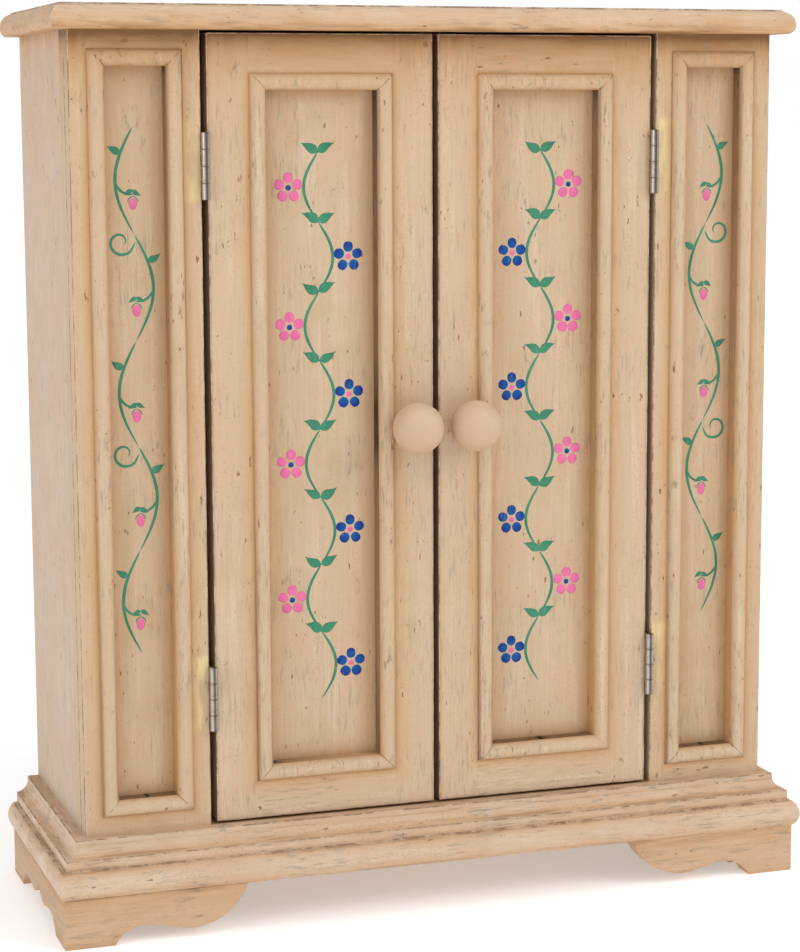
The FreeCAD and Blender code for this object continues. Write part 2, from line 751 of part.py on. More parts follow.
def bead_frame(node, low_x, high_x, low_z, high_z):
    """Four lengths of half-round, mitred, from the panel to in front of the frame."""
    wide, seat = D["bead_width"], FACE + D["panel_recess"]
    crown = FACE - D["bead_proud"]

    def section(edge, inward):
        middle = edge + inward * wide / 2
        return edge, middle, edge + inward * wide

    strips = []
    for name, edge, inward in (("left", low_x, 1), ("right", high_x, -1)):
        outer, middle, inner = section(edge, inward)
        profile = [(outer, seat), (outer, FACE, (middle, crown)), (inner, FACE), (inner, seat)]
        run = prism(f"{node}_{name}_run", "Z", profile, low_z, high_z)
        plan = [(outer, low_z), (outer, high_z), (inner, high_z - wide), (inner, low_z + wide)]
        mitre = prism(f"{node}_{name}_mitre", "Y", plan, crown - wide, seat)
        strips.append(common(f"{node}_{name}", run, mitre))
    for name, edge, inward in (("bottom", low_z, 1), ("top", high_z, -1)):
        outer, middle, inner = section(edge, inward)
        profile = [(seat, outer), (FACE, outer, (crown, middle)), (FACE, inner), (seat, inner)]
        run = prism(f"{node}_{name}_run", "X", profile, low_x, high_x)
        plan = [(low_x, outer), (high_x, outer), (high_x - wide, inner), (low_x + wide, inner)]
        mitre = prism(f"{node}_{name}_mitre", "Y", plan, crown - wide, seat)
        strips.append(common(f"{node}_{name}", run, mitre))
    piece(node, group(node, strips))


def pilaster(side):
    """Fixed panelled column between the side panel and the door on one side."""
    prefix = f"{SIDE_NAMES[side]}_pilaster"
    quirk_y = FACE + D["quirk_inset"]
    low_x, high_x = span(side, HALF - D["quirk_size"], HALF)
    quirk = box(f"{prefix}_quirk", (low_x, quirk_y, FLOOR),
                (high_x, quirk_y + D["quirk_size"], CEILING))
    bores = {
        "outer_stile": [quirk],
        "inner_stile": screw_bores(f"{prefix}_bore", side, D["opening_half"], side),
    }
    stiles = (("inner_stile", D["pilaster_stile"]), ("outer_stile", D["pilaster_stile"]))
    framed_panel(prefix, side, D["opening_half"], HALF, FLOOR, CEILING, stiles,
                 D["pilaster_stile"], bores)


def door(side):
    """Panelled door with its knob, knob screw and strike plate."""
    prefix = f"{SIDE_NAMES[side]}_door"
    knob_x = side * D["knob_inset"]
    hole_radius = D["knob_screw"] + D["knob_hole_play"]
    knob_hole = cylinder(f"{prefix}_knob_hole", (knob_x, FRAME_BACK, D["knob_height"]), "-Y",
                         hole_radius, D["frame_thick"])
    bores = {
        "lock_stile": [knob_hole],
        "hinge_stile": screw_bores(f"{prefix}_bore", side, DOOR_EDGE, -side),
    }
    stiles = (("lock_stile", D["door_stile"]), ("hinge_stile", D["door_stile"]))
    framed_panel(prefix, side, DOOR_MEET, DOOR_EDGE, DOOR_LOW, DOOR_HIGH, stiles,
                 D["door_rail"], bores)
    knob(prefix, knob_x)
    low_x, high_x = span(side, MAGNET_INNER, MAGNET_INNER + D["magnet_size"])
    plate_high = DOOR_HIGH - MAGNET_DROP
    plate_low = (low_x, FRAME_BACK, plate_high - D["magnet_height"])
    plate = box(f"{prefix}_strike_plate", plate_low,
                (high_x, FRAME_BACK + D["plate_thick"], plate_high))
    piece(f"{prefix}_strike_plate", plate)


def knob(prefix, x):
    """Ball knob on a short neck, and the screw that holds it through the stile."""
    ball, bore, shank = D["knob_radius"], D["knob_bore"], D["knob_screw"]
    middle = FACE - D["knob_stand"] - ball
    name, z = f"{prefix}_knob", D["knob_height"]
    neck = cylinder(f"{name}_neck", (x, FACE, z), "-Y", D["knob_neck"], FACE - middle)
    turning = fuse(f"{name}_turning", [neck, sphere(f"{name}_ball", (x, middle, z), ball)])
    socket = cylinder(f"{name}_socket", (x, FACE, z), "-Y", shank, bore)
    piece(name, cut(name, turning, [socket]))
    crown = D["knob_screw_crown"]
    name = f"{prefix}_knob_screw"
    shank_length = D["frame_thick"] + bore
    head = cone(f"{name}_head", (x, FRAME_BACK, z), "+Y", D["knob_screw_head"], D["knob_screw_tip"],
                crown)
    rod = cylinder(f"{name}_shank", (x, FRAME_BACK, z), "-Y", shank, shank_length)
    piece(name, fuse(name, [head, rod]))


# ---------------------------------------------------------------------------- hinges


def screw_heights(low):
    return (low + D["screw_end"], low + D["hinge_length"] - D["screw_end"])


def screw_bores(name, side, edge, into):
    """Pilot holes for one door's hinges, from an edge of the opening into the wood."""
    bores = []
    for level, low in HINGE_LOWS.items():
        for number, z in enumerate(screw_heights(low)):
            start = (side * edge, FACE + D["screw_inset"], z)
            bores.append(cylinder(f"{name}_{level}{number}", start, OUTWARD[into],
                                  D["screw_radius"], D["screw_length"]))
    return bores


def leaf(name, side, edge, into, low, own, other, hole_radius):
    """Hinge leaf: a plate on the wood with its own knuckles, clear of the other leaf's.

    into is the way from the gap to the wood. own and other number the knuckles, of four,
    counted from the bottom.
    """
    pitch = D["hinge_length"] / KNUCKLES
    barrel_x = side * BARREL_X
    wood = side * edge
    surface = wood - into * D["leaf_thick"]
    low_x, high_x = (surface, wood) if into > 0 else (wood, surface)
    plate = box(f"{name}_plate", (low_x, BARREL_Y, low),
                (high_x, FACE + D["leaf_depth"], low + D["hinge_length"]))
    shapes, cuts = [plate], []
    for number in own:
        start = (barrel_x, BARREL_Y, low + pitch * number + D["knuckle_play"] / 2)
        shapes.append(cylinder(f"{name}_knuckle{number}", start, "+Z", D["hinge_radius"],
                               pitch - D["knuckle_play"]))
    for number in other:
        start = (barrel_x, BARREL_Y, low + pitch * number - D["knuckle_play"] / 2)
        cuts.append(cylinder(f"{name}_relief{number}", start, "+Z",
                             D["hinge_radius"] + D["knuckle_clear"],
                             pitch + D["knuckle_play"]))
    cuts.append(cylinder(f"{name}_pin_hole", (barrel_x, BARREL_Y, low), "+Z", hole_radius,
                         D["hinge_length"]))
    for number, z in enumerate(screw_heights(low)):
        start = (surface, FACE + D["screw_inset"], z)
        cuts.append(cone(f"{name}_seat{number}", start, OUTWARD[into], D["screw_head"],
                         D["screw_radius"], D["leaf_thick"]))
    return cut(name, fuse(f"{name}_blank", shapes), cuts)


def leaf_screws(name, side, edge, into, low):
    """The two countersunk screws of one leaf, heads flush with its plate."""
    screws = []
    surface = side * edge - into * D["leaf_thick"]
    for number, z in enumerate(screw_heights(low)):
        y = FACE + D["screw_inset"]
        head = cone(f"{name}_head{number}", (surface, y, z), OUTWARD[into], D["screw_head"],
                    D["screw_radius"], D["leaf_thick"])
        shank = cylinder(f"{name}_shank{number}", (side * edge, y, z), OUTWARD[into],
                         D["screw_radius"], D["screw_length"])
        screws.append(fuse(f"{name}{number}", [head, shank]))
    return screws


def hinges():
    """Four butt hinges. The pins are a press fit in the leaves on the pilasters."""
    frame_leaves, frame_screws, pins = [], [], []
    for side in (LEFT, RIGHT):
        door_name = f"{SIDE_NAMES[side]}_door"
        door_leaves, door_screws = [], []
        for level, low in HINGE_LOWS.items():
            name = f"{SIDE_NAMES[side]}_{level}"
            frame_leaves.append(leaf(f"{name}_frame_leaf", side, D["opening_half"], side, low,
                                     FRAME_KNUCKLES, DOOR_KNUCKLES, D["pin_radius"]))
            door_leaves.append(leaf(f"{name}_door_leaf", side, DOOR_EDGE, -side, low,
                                    DOOR_KNUCKLES, FRAME_KNUCKLES,
                                    D["pin_radius"] + D["pin_play"]))
            frame_screws += leaf_screws(f"{name}_frame_screw", side, D["opening_half"], side, low)
            door_screws += leaf_screws(f"{name}_door_screw", side, DOOR_EDGE, -side, low)
            pins.append(cylinder(f"{name}_pin", (side * BARREL_X, BARREL_Y, low), "+Z",
                                 D["pin_radius"], D["hinge_length"]))
        piece(f"{door_name}_hinge_leaves", group(f"{door_name}_hinge_leaves", door_leaves))
        piece(f"{door_name}_hinge_screws", group(f"{door_name}_hinge_screws", door_screws))
    piece("frame_hinge_leaves", group("frame_hinge_leaves", frame_leaves))
    piece("frame_hinge_screws", group("frame_hinge_screws", frame_screws))
    piece("hinge_pins", group("hinge_pins", pins))


# -------------------------------------------------------------------------- assembly


def build():
    floor_low = (-HALF, FACE, FLOOR - D["floor_thick"])
    piece("floor_board", box("floor_board", floor_low, (HALF, BACK, FLOOR)))
    back_low = (-INNER_HALF, INNER_BACK, FLOOR)
    piece("back_panel", box("back_panel", back_low, (INNER_HALF, BACK, CEILING)))
    top_board()
    base_mouldings()
    for side in (LEFT, RIGHT):
        side_panel(side)
        front_bracket(side)
        side_apron(side)
        pilaster(side)
        door(side)
    corner_blocks()
    hinges()
    magnetic_catch()
    shelf_and_studs()
    peg_rail()
    ring_pad()


def check():
    """Stops the build if any feature failed or any sub-part's shape is unsound."""
    for feature in doc.Objects:
        if "Invalid" in feature.State or "Error" in feature.State:
            raise RuntimeError(f"{feature.Name} failed: {feature.State}")
    for node, shape in pieces.items():
        if shape.Shape.isNull() or not shape.Shape.isValid():
            raise RuntimeError(f"{node} has no sound shape")


def export():
    os.makedirs("parts", exist_ok=True)
    for node, shape in pieces.items():
        shape.Shape.exportStep(f"parts/{node}.step")


build()
doc.recompute()
check()
export()
print(f"{len(pieces)} sub-parts written")
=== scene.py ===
import json
import math
import random

import bmesh
import bpy
from bpy.props import FloatProperty, FloatVectorProperty, IntProperty, PointerProperty
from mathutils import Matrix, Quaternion, Vector
from mathutils.bvhtree import BVHTree

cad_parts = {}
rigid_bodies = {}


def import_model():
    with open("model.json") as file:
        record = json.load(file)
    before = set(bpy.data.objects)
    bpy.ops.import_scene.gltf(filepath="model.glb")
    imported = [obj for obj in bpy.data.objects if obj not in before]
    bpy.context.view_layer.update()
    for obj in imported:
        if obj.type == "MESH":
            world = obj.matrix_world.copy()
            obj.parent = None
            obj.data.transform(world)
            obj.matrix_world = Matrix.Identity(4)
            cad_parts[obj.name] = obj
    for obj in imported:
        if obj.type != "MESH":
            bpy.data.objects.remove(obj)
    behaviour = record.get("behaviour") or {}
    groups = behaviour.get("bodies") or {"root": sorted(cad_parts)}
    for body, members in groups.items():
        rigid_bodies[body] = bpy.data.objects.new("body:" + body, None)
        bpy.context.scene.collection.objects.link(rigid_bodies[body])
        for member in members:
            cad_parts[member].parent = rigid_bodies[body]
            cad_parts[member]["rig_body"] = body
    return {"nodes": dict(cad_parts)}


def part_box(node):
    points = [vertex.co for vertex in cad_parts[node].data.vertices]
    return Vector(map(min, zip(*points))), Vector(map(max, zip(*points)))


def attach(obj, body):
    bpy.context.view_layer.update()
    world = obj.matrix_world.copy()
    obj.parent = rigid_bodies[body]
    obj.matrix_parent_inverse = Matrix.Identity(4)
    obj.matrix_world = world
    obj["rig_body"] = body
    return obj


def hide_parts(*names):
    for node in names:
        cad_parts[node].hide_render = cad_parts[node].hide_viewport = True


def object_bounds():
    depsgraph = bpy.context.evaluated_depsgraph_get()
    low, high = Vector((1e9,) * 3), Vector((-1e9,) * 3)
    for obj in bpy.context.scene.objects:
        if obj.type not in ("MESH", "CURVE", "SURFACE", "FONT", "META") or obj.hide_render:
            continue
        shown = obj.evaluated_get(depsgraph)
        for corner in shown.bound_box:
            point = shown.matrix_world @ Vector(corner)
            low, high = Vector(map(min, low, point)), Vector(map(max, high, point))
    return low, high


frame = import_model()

bl_info = {
    "name": "Painted Jewelry Cabinet",
    "version": (1, 0, 0),
    "blender": (4, 5, 0),
    "location": "View3D > Sidebar > Jewelry Cabinet",
    "description": "Builds the looks of a small painted two-door jewelry cabinet around its frame",
    "category": "Object",
}

MM = 0.001
CAD_LOW, CAD_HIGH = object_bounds()
SIDES = ("left", "right")


# ------------------------------------------------------------------ sizes and colours

def colour(label, about, value):
    return FloatVectorProperty(
        name=label, description=about, default=value, subtype="COLOR", size=3, min=0.0, max=1.0
    )


def share(label, about, value):
    return FloatProperty(
        name=label, description=about, default=value, subtype="FACTOR", min=0.0, max=1.0
    )


def length(label, about, value):
    return FloatProperty(
        name=label, description=about, default=value, subtype="DISTANCE", unit="LENGTH", min=0.0
    )


def angle(label, about, degrees):
    return FloatProperty(
        name=label, description=about, default=math.radians(degrees), subtype="ANGLE"
    )


def power(label, about, value, unit="POWER"):
    return FloatProperty(name=label, description=about, default=value, min=0.0, unit=unit)


class PaintLook(bpy.types.PropertyGroup):
    """The aged cream paint and its brown glaze."""

    cream: colour("Cream", "Body colour of the old paint", (0.585, 0.448, 0.298))
    pale: colour("Pale cream", "Colour on the crests of the brush marks", (0.74, 0.60, 0.45))
    rosy: colour("Rosy cream", "Warmer patches of the same coat", (0.60, 0.42, 0.283))
    # Painted light: a paler copy of the cream for the two sides, standing in for the light that
    # falls on them.
    side_cream: colour("Side cream", "Paler coat on the two sides", (0.60, 0.47, 0.372))
    # Painted light: a paler copy of the cream on the top board and the front base, standing in for
    # the stronger light from above.
    edge_cream: colour("Edge cream", "Paint on the top board and the base", (0.665, 0.525, 0.40))
    # Painted light: a much paler copy of the cream for the base's sides, standing in for the light
    # that falls on them.
    side_base_cream: colour("Side base cream", "Paint on the base's sides", (0.84, 0.68, 0.53))
    foot_cream: colour("Foot cream", "Warmer coat on the feet", (0.57, 0.385, 0.25))
    tan: colour("Tan", "Colour in the valleys of the brush marks", (0.50, 0.32, 0.17))
    glaze: colour("Glaze", "Orange-brown glaze beside the mouldings", (0.54, 0.25, 0.065))
    # Umber also gives the painted shade in the corners, under the top board and along the
    # mouldings' steps.
    umber: colour("Umber", "Dark glaze deep in the corners", (0.20, 0.095, 0.033))
    dash: colour("Dash", "Grey-green dry brush marks", (0.25, 0.225, 0.155))
    scuff: colour("Scuff", "Grey-black rubs on raised strips", (0.12, 0.10, 0.075))
    nick: colour("Nick", "Bare brown wood in small chips", (0.25, 0.105, 0.03))
    edge: colour("Edge", "Red-brown primer at the door edges", (0.10, 0.03, 0.012))
    smear: colour("Smear", "Yellow touch-up paint beside the hinges", (0.80, 0.64, 0.30))
    roughness: share("Roughness", "How matt the paint is", 0.52)
    streaks: share("Streaks", "Contrast of the brush marks", 0.55)
    softened: length("Softened edge", "Width of the rounding on wood edges", 0.45 * MM)


class FlowerLook(bpy.types.PropertyGroup):
    """The painted flowers and vines."""

    vine: colour("Vine green", "Colour of stems and leaves", (0.038, 0.185, 0.10))
    leaf: colour("Leaf green", "Lighter green of the leaves", (0.055, 0.265, 0.155))
    pink: colour("Petal pink", "Colour of the blossoms and buds", (0.84, 0.175, 0.385))
    azure: colour("Petal blue", "Blue where the brush is loaded", (0.0, 0.098, 0.33))
    navy: colour("Dark petal blue", "Blue where the strokes end", (0.008, 0.022, 0.22))
    vine_width: length("Vine width", "Widest part of a stem", 1.25 * MM)
    leaf_width: share("Leaf width", "Width of a leaf as a share of its length", 0.50)
    bud_width: share("Bud width", "Width of a bud as a share of its length", 0.66)
    flatness: share("Flatness", "Thickness of a stroke as a share of its width", 0.035)


class FittingLook(bpy.types.PropertyGroup):
    """Metal, bare wood and velvet."""

    steel: colour("Steel", "Bright hinge steel", (0.53, 0.48, 0.45))
    tarnish: colour("Tarnish", "Brown film on the hinges", (0.23, 0.15, 0.08))
    brass: colour("Brass", "Shelf studs", (0.80, 0.55, 0.20))
    bare_wood: colour("Bare wood", "Unpainted pine inside", (0.52, 0.31, 0.14))
    dark_grain: colour("Dark grain", "Late growth in the pine", (0.30, 0.15, 0.055))
    velvet: colour("Velvet", "Ring roll cover", (0.22, 0.012, 0.03))
    plastic: colour("Catch plastic", "Body of the magnetic catch", (0.55, 0.50, 0.42))
    magnet: colour("Magnet", "Dark ferrite", (0.05, 0.05, 0.052))


class StageLook(bpy.types.PropertyGroup):
    """Camera, floor and lights."""

    lens: FloatProperty(
        name="Lens", description="Focal length of the camera in mm", default=93.33, min=20.0
    )
    eye: FloatVectorProperty(
        name="Eye", description="Where the camera stands", default=(-0.3261, -0.9498, 0.3145),
        subtype="TRANSLATION", unit="LENGTH",
    )
    heading: angle("Heading", "Turn of the camera to the right", 18.819)
    pitch: angle("Pitch", "How far the camera looks down", 8.223)
    roll: angle("Roll", "Tilt of the camera", -0.243)
    floor_size: length("Floor size", "Half width of the floor", 12.0)
    floor_glow: power("Floor glow", "Light given off by the white floor", 0.64, "NONE")
    daylight: power("Daylight", "Strength of the even light", 0.47, "NONE")
    key: power("Key light", "Power of the large light", 15.5)
    fill: power("Fill light", "Power of the side light", 12.0)
    overhead: power("Overhead light", "Power of the light above", 15.0)
    seed: IntProperty(name="Seed", description="Seed of the small variations", default=7)


LOOKS = {
    "cabinet_paint": PaintLook,
    "cabinet_flowers": FlowerLook,
    "cabinet_fittings": FittingLook,
    "cabinet_stage": StageLook,
}


def look(name):
    return getattr(bpy.context.scene, name)


# ----------------------------------------------------------------------------- finishes

def add_node(tree, kind, settings=None, values=None):
    """Any node: its settings first, then the values or sockets that its inputs take."""
    made = tree.nodes.new(kind)
    for name, setting in (settings or {}).items():
        setattr(made, name, setting)
    for name, value in (values or {}).items():
        value = getattr(value, "socket", value)
        if isinstance(value, bpy.types.NodeSocket):
            tree.links.new(value, made.inputs[name])
        else:
            made.inputs[name].default_value = value
    return made


class Wire:
    """A value in a finish's nodes that plain arithmetic works on."""

    def __init__(self, coat, socket):
        self.coat = coat
        self.socket = socket

    def maths(self, operation, *values):
        return self.coat.maths(operation, *values)

    def __rsub__(self, other):
        return self.maths("SUBTRACT", other, self)

    def __abs__(self):
        return self.maths("ABSOLUTE", self)

    def fade(self, width):
        """One where the value is nought, falling away over the width."""
        return self.maths("EXPONENT", abs(self) * (-1 / width))

    def step(self, low, high):
        """A smooth rise from nought at low to one at high."""
        settings = {"interpolation_type": "SMOOTHSTEP"}
        return self.coat.get("ShaderNodeMapRange", settings, {0: self, 1: low, 2: high})


def pairwise(operation):
    return lambda first, second: first.maths(operation, first, second)


for method, operation in {
    "__add__": "ADD", "__radd__": "ADD", "__sub__": "SUBTRACT", "__mul__": "MULTIPLY",
    "__rmul__": "MULTIPLY", "__truediv__": "DIVIDE", "__pow__": "POWER", "most": "MAXIMUM",
    "least": "MINIMUM",
}.items():
    setattr(Wire, method, pairwise(operation))


class Coat:
    """A finish: one material whose nodes are written as expressions."""

    def __init__(self, name, **fixed):
        self.material = bpy.data.materials.new(name)
        self.material.use_nodes = True
        self.tree = self.material.node_tree
        self.tree.nodes.clear()
        self.shader = self.node("ShaderNodeBsdfPrincipled", values=fixed)
        self.node("ShaderNodeOutputMaterial", values={0: Wire(self, self.shader.outputs[0])})
        self.place = self.get("ShaderNodeTexCoord", output="Object")
        self.x, self.y, self.z = (
            self.get("ShaderNodeSeparateXYZ", values={0: self.place}, output=axis)
            for axis in range(3)
        )

    def node(self, kind, settings=None, values=None):
        return add_node(self.tree, kind, settings, values)

    def get(self, kind, settings=None, values=None, output=0):
        return Wire(self, self.node(kind, settings, values).outputs[output])

    def stretched(self, scales, shift=0.0):
        """The place on the piece, scaled along each axis."""
        values = {0: self.place, 1: scales, 2: (shift, shift, shift)}
        return self.get("ShaderNodeVectorMath", {"operation": "MULTIPLY_ADD"}, values)

    def noise(self, scales, detail=2.0, rough=0.5, shift=0.0):
        """Soft noise, with one scale per metre or one for each axis."""
        if isinstance(scales, float):
            scales = (scales, scales, scales)
        values = {
            "Vector": self.stretched(scales, shift), "Scale": 1.0, "Detail": detail,
            "Roughness": rough,
        }
        return self.get("ShaderNodeTexNoise", values=values)

    def streaks(self, grain, across, along, detail=2.0, rough=0.5, shift=0.0):
        """Noise drawn out along one axis."""
        scales = tuple(along if axis == grain else across for axis in "XYZ")
        return self.noise(scales, detail, rough, shift)

    def blend(self, first, second, amount):
        """Two colours mixed: the second by the amount."""
        tint = [(*c, 1.0) if not isinstance(c, Wire) else c for c in (first, second)]
        values = {0: amount, 6: tint[0], 7: tint[1]}
        return self.get("ShaderNodeMix", {"data_type": "RGBA"}, values, output=2)

    def named(self, attribute):
        return self.get("ShaderNodeAttribute", {"attribute_name": attribute}, output="Fac")

    def maths(self, operation, *values):
        return self.get("ShaderNodeMath", {"operation": operation}, dict(enumerate(values)))

    def wear(self, base, roughness=None, relief=None, depth=0.1 * MM, metal=None):
        """Sends the worked-out looks to the shader."""
        self.tree.links.new(base.socket, self.shader.inputs["Base Color"])
        if roughness is not None:
            self.tree.links.new(roughness.socket, self.shader.inputs["Roughness"])
        if metal is not None:
            self.tree.links.new(metal.socket, self.shader.inputs["Metallic"])
        if relief is not None:
            bump = self.get(
                "ShaderNodeBump", values={"Strength": 1.0, "Distance": depth, "Height": relief},
            )
            self.tree.links.new(bump.socket, self.shader.inputs["Normal"])
        return self.material


def frame_offsets(coat, low, high):
    """How far out across and up from the sides of an upright rectangle on the front."""
    middle_x, middle_z = (low[0] + high[0]) / 2, (low[1] + high[1]) / 2
    off_x = abs(abs(coat.x) - middle_x) - (high[0] - low[0]) / 2
    off_z = abs(coat.z - middle_z) - (high[1] - low[1]) / 2
    return off_x, off_z


def frame_line(coat, low, high):
    """Distance from the line of an upright rectangle on the front, alike on both sides."""
    off_x, off_z = frame_offsets(coat, low, high)
    return off_x.most(off_z)


def node_rectangle(node, inset=0.0):
    """A node's outline on the front, from the middle outwards."""
    low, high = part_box(node)
    return (
        (min(abs(low[0]), abs(high[0])) + inset, low[2] + inset),
        (max(abs(low[0]), abs(high[0])) - inset, high[2] - inset),
    )


BEAD_WIDTH = 6.4 * MM
DOOR_LINE = (
    node_rectangle("left_door_lock_stile")[0], node_rectangle("left_door_hinge_stile")[1],
)
MOULDING_LINES = tuple(
    (node_rectangle(node), node_rectangle(node, BEAD_WIDTH))
    for node in ("left_door_moulding", "left_pilaster_moulding")
)
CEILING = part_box("top_board")[0][2]
BASE_LOW, BASE_HIGH = (corner[2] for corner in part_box("front_base_moulding"))
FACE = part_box("left_door_lock_stile")[0][1]
HINGE_LENGTH = 25.4 * MM
PINS_LOW, PINS_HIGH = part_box("hinge_pins")
HINGE_X = PINS_HIGH[0] - (PINS_HIGH[1] - PINS_LOW[1]) / 2
HINGE_MIDDLES = (PINS_LOW[2] + HINGE_LENGTH / 2, PINS_HIGH[2] - HINGE_LENGTH / 2)
KNUCKLE_LENGTH = HINGE_LENGTH / 4
BETWEEN_HINGES = 200.0 * MM


def greatest(wires):
    """The largest of several values."""
    most = wires[0]
    for wire in wires[1:]:
        most = most.most(wire)
    return most


def front_glaze_and_shade(coat, grain, strip):
    """Glaze beside the mouldings and on the panels' rims, and the darker glaze in the corners,
    with painted shade in those corners and in bands under the top board.
    """
    glaze_stains_and_shade, dark_corners_and_shade = [], []
    for outer, inner in MOULDING_LINES:
        beside, around = frame_line(coat, *inner), frame_line(coat, *outer)
        glaze_stains_and_shade += [around.fade(1.0 * MM) * 0.5, beside.fade(0.9 * MM) * 0.6]
        # Thin dark lines at the moulding's feet: dark glaze with painted shade.
        dark_corners_and_shade += [around.fade(0.4 * MM) * 0.25, beside.fade(0.5 * MM) * 0.12]
        if not strip:
            glaze_stains_and_shade += [around.fade(3.2 * MM) * 0.70, beside.fade(5.5 * MM) * 0.52]
    # Glaze and painted shade below the top board: a narrow dark band and a wider tan one.
    under = coat.z - CEILING
    dark_corners_and_shade.append(under.fade(5.0 * MM) * 1.4)
    glaze_stains_and_shade.append(under.fade(18.0 * MM) * 0.9)
    ragged = coat.streaks(grain, 260.0, 40.0, 3.0, 0.6, shift=1.3) + 0.42
    ragged = ragged.least(1.1)
    return (greatest(glaze_stains_and_shade) * ragged).least(0.9), (greatest(dark_corners_and_shade) * ragged).least(0.9)


def mitre_cracks(coat):
    """Fine cracks along the mitres of the mouldings."""
    cracks = []
    for outer, inner in MOULDING_LINES:
        off_x, off_z = frame_offsets(coat, *outer)
        within = (frame_line(coat, *inner) / MM).step(0.0, 0.4)
        cracks.append((off_x - off_z).fade(0.16 * MM) * within)
    return greatest(cracks) * coat.noise(330.0, 2.0).step(0.38, 0.52)


def hinge_smear(coat, grain):
    """Touch-up paint on the pilasters beside the hinges."""
    near = greatest([
        1 - abs(coat.z - 2.0 * MM - middle).step(13.0 * MM, 17.0 * MM) for middle in HINGE_MIDDLES
    ])
    beside = (abs(coat.x) - HINGE_X - 3.4 * MM).fade(3.4 * MM).step(0.05, 0.75)
    wiped = coat.streaks(grain, 400.0, 90.0, 3.0, 0.5, shift=6.4).step(0.30, 0.66)
    return near * beside * wiped


def aged_paint(name, grain, body="cream", front=True, strip=False, lines=(), scuffed=0.0,
               cold=False, worn=0.0):
    """Cream paint brushed along the grain, glazed in the recesses with painted shade there and
    under the top board, and rubbed on the crests.
    """
    paint = look("cabinet_paint")
    coat = Coat(name, **{"Specular IOR Level": 0.30})
    fine = coat.streaks(grain, 1300.0, 40.0, 4.0, 0.65)
    broad = coat.streaks(grain, 230.0, 14.0, 4.0, 0.65, shift=3.1)
    cloud = coat.noise(32.0, 4.0, 0.65, shift=7.7)
    speck = coat.noise(1000.0, 2.0, 0.6)
    strokes = (fine * 0.45 + broad * 0.25 + speck * 0.30).step(0.40, 0.62)
    brushed = coat.blend(paint.tan, paint.pale, strokes)
    base = coat.blend(getattr(paint, body), brushed, 0.42 * paint.streaks)
    base = coat.blend(base, paint.rosy, cloud.step(0.44, 0.58) * 0.6)
    base = coat.blend(base, paint.pale, broad.step(0.52, 0.68) * 0.34)
    base = coat.blend(base, paint.tan, (1 - cloud).step(0.50, 0.70) * 0.34)
    stipple = speck.step(0.52, 0.66) * (cloud + broad).step(0.9, 1.15)
    base = coat.blend(base, paint.tan, stipple * 0.5)
    if front:
        # Glaze beside the mouldings, with painted shade in the corners and under the top board.
        tan_glaze_and_shade, dark_glaze_and_shade = front_glaze_and_shade(coat, grain, strip)
        base = coat.blend(base, paint.glaze, tan_glaze_and_shade)
        base = coat.blend(base, paint.umber, dark_glaze_and_shade)
    # Glaze and painted shade along the given heights: a soft tan band and a thin dark line at
    # each.
    if lines:
        grooves = [
            (coat.z - height).fade(width) * strength for height, width, strength in lines
        ]
        rag = coat.streaks(grain, 300.0, 30.0, 3.0, 0.6, shift=4.3)
        soft = greatest([
            (coat.z - height).fade(4.0 * width) * strength for height, width, strength in lines
        ])
        base = coat.blend(base, paint.glaze, (soft * 0.75 * (rag + 0.4)).least(0.8))
        base = coat.blend(base, paint.umber, greatest(grooves) * rag.step(0.46, 0.60) * 0.65)
    patches = coat.noise(38.0, 3.0, 0.6, shift=11.0)
    dashes = coat.streaks(grain, 900.0, 100.0, 3.0, 0.65, shift=8.8)
    dashes = dashes.step(0.51, 0.66) * patches.step(0.42, 0.60)
    base = coat.blend(base, paint.dash, dashes * (0.34 + 0.25 * scuffed))
    rubs = coat.streaks(grain, 620.0, 130.0, 5.0, 0.7, shift=2.2).step(0.54, 0.66)
    where = coat.noise(55.0, 2.0, 0.5, shift=15.0)
    amount = rubs * where.step(0.64 - 0.16 * scuffed, 0.74 - 0.12 * scuffed)
    dark = (0.27, 0.26, 0.235) if cold else paint.scuff
    base = coat.blend(base, dark, amount * (0.35 + 0.35 * scuffed))
    if worn:
        chips = coat.noise(150.0, 5.0, 0.75, shift=5.9).step(0.40, 0.60) * worn
    else:
        chips = coat.streaks(grain, 620.0, 200.0, 3.0, 0.6, shift=5.9)
        chips = chips.step(0.665, 0.70)
        chips = chips * coat.noise(60.0, 1.0, 0.5, shift=9.0).step(0.48, 0.56)
    if strip:
        chips = chips.most(mitre_cracks(coat))
    base = coat.blend(base, paint.edge if worn else paint.nick, chips * 0.85)
    if front:
        corner = frame_line(coat, *DOOR_LINE).fade(0.42 * MM) * (coat.y - FACE).fade(5.0 * MM)
        base = coat.blend(base, paint.edge, corner * 0.95)
        base = coat.blend(base, paint.smear, hinge_smear(coat, grain) * 0.75)
    matt = paint.roughness + 0.16 * (fine - 0.5) + 0.14 * cloud
    relief = fine * 0.5 + broad * 0.35 + speck * 0.3 - chips * 1.8 - amount * 0.3
    return coat.wear(base, matt, relief, depth=0.13 * MM)


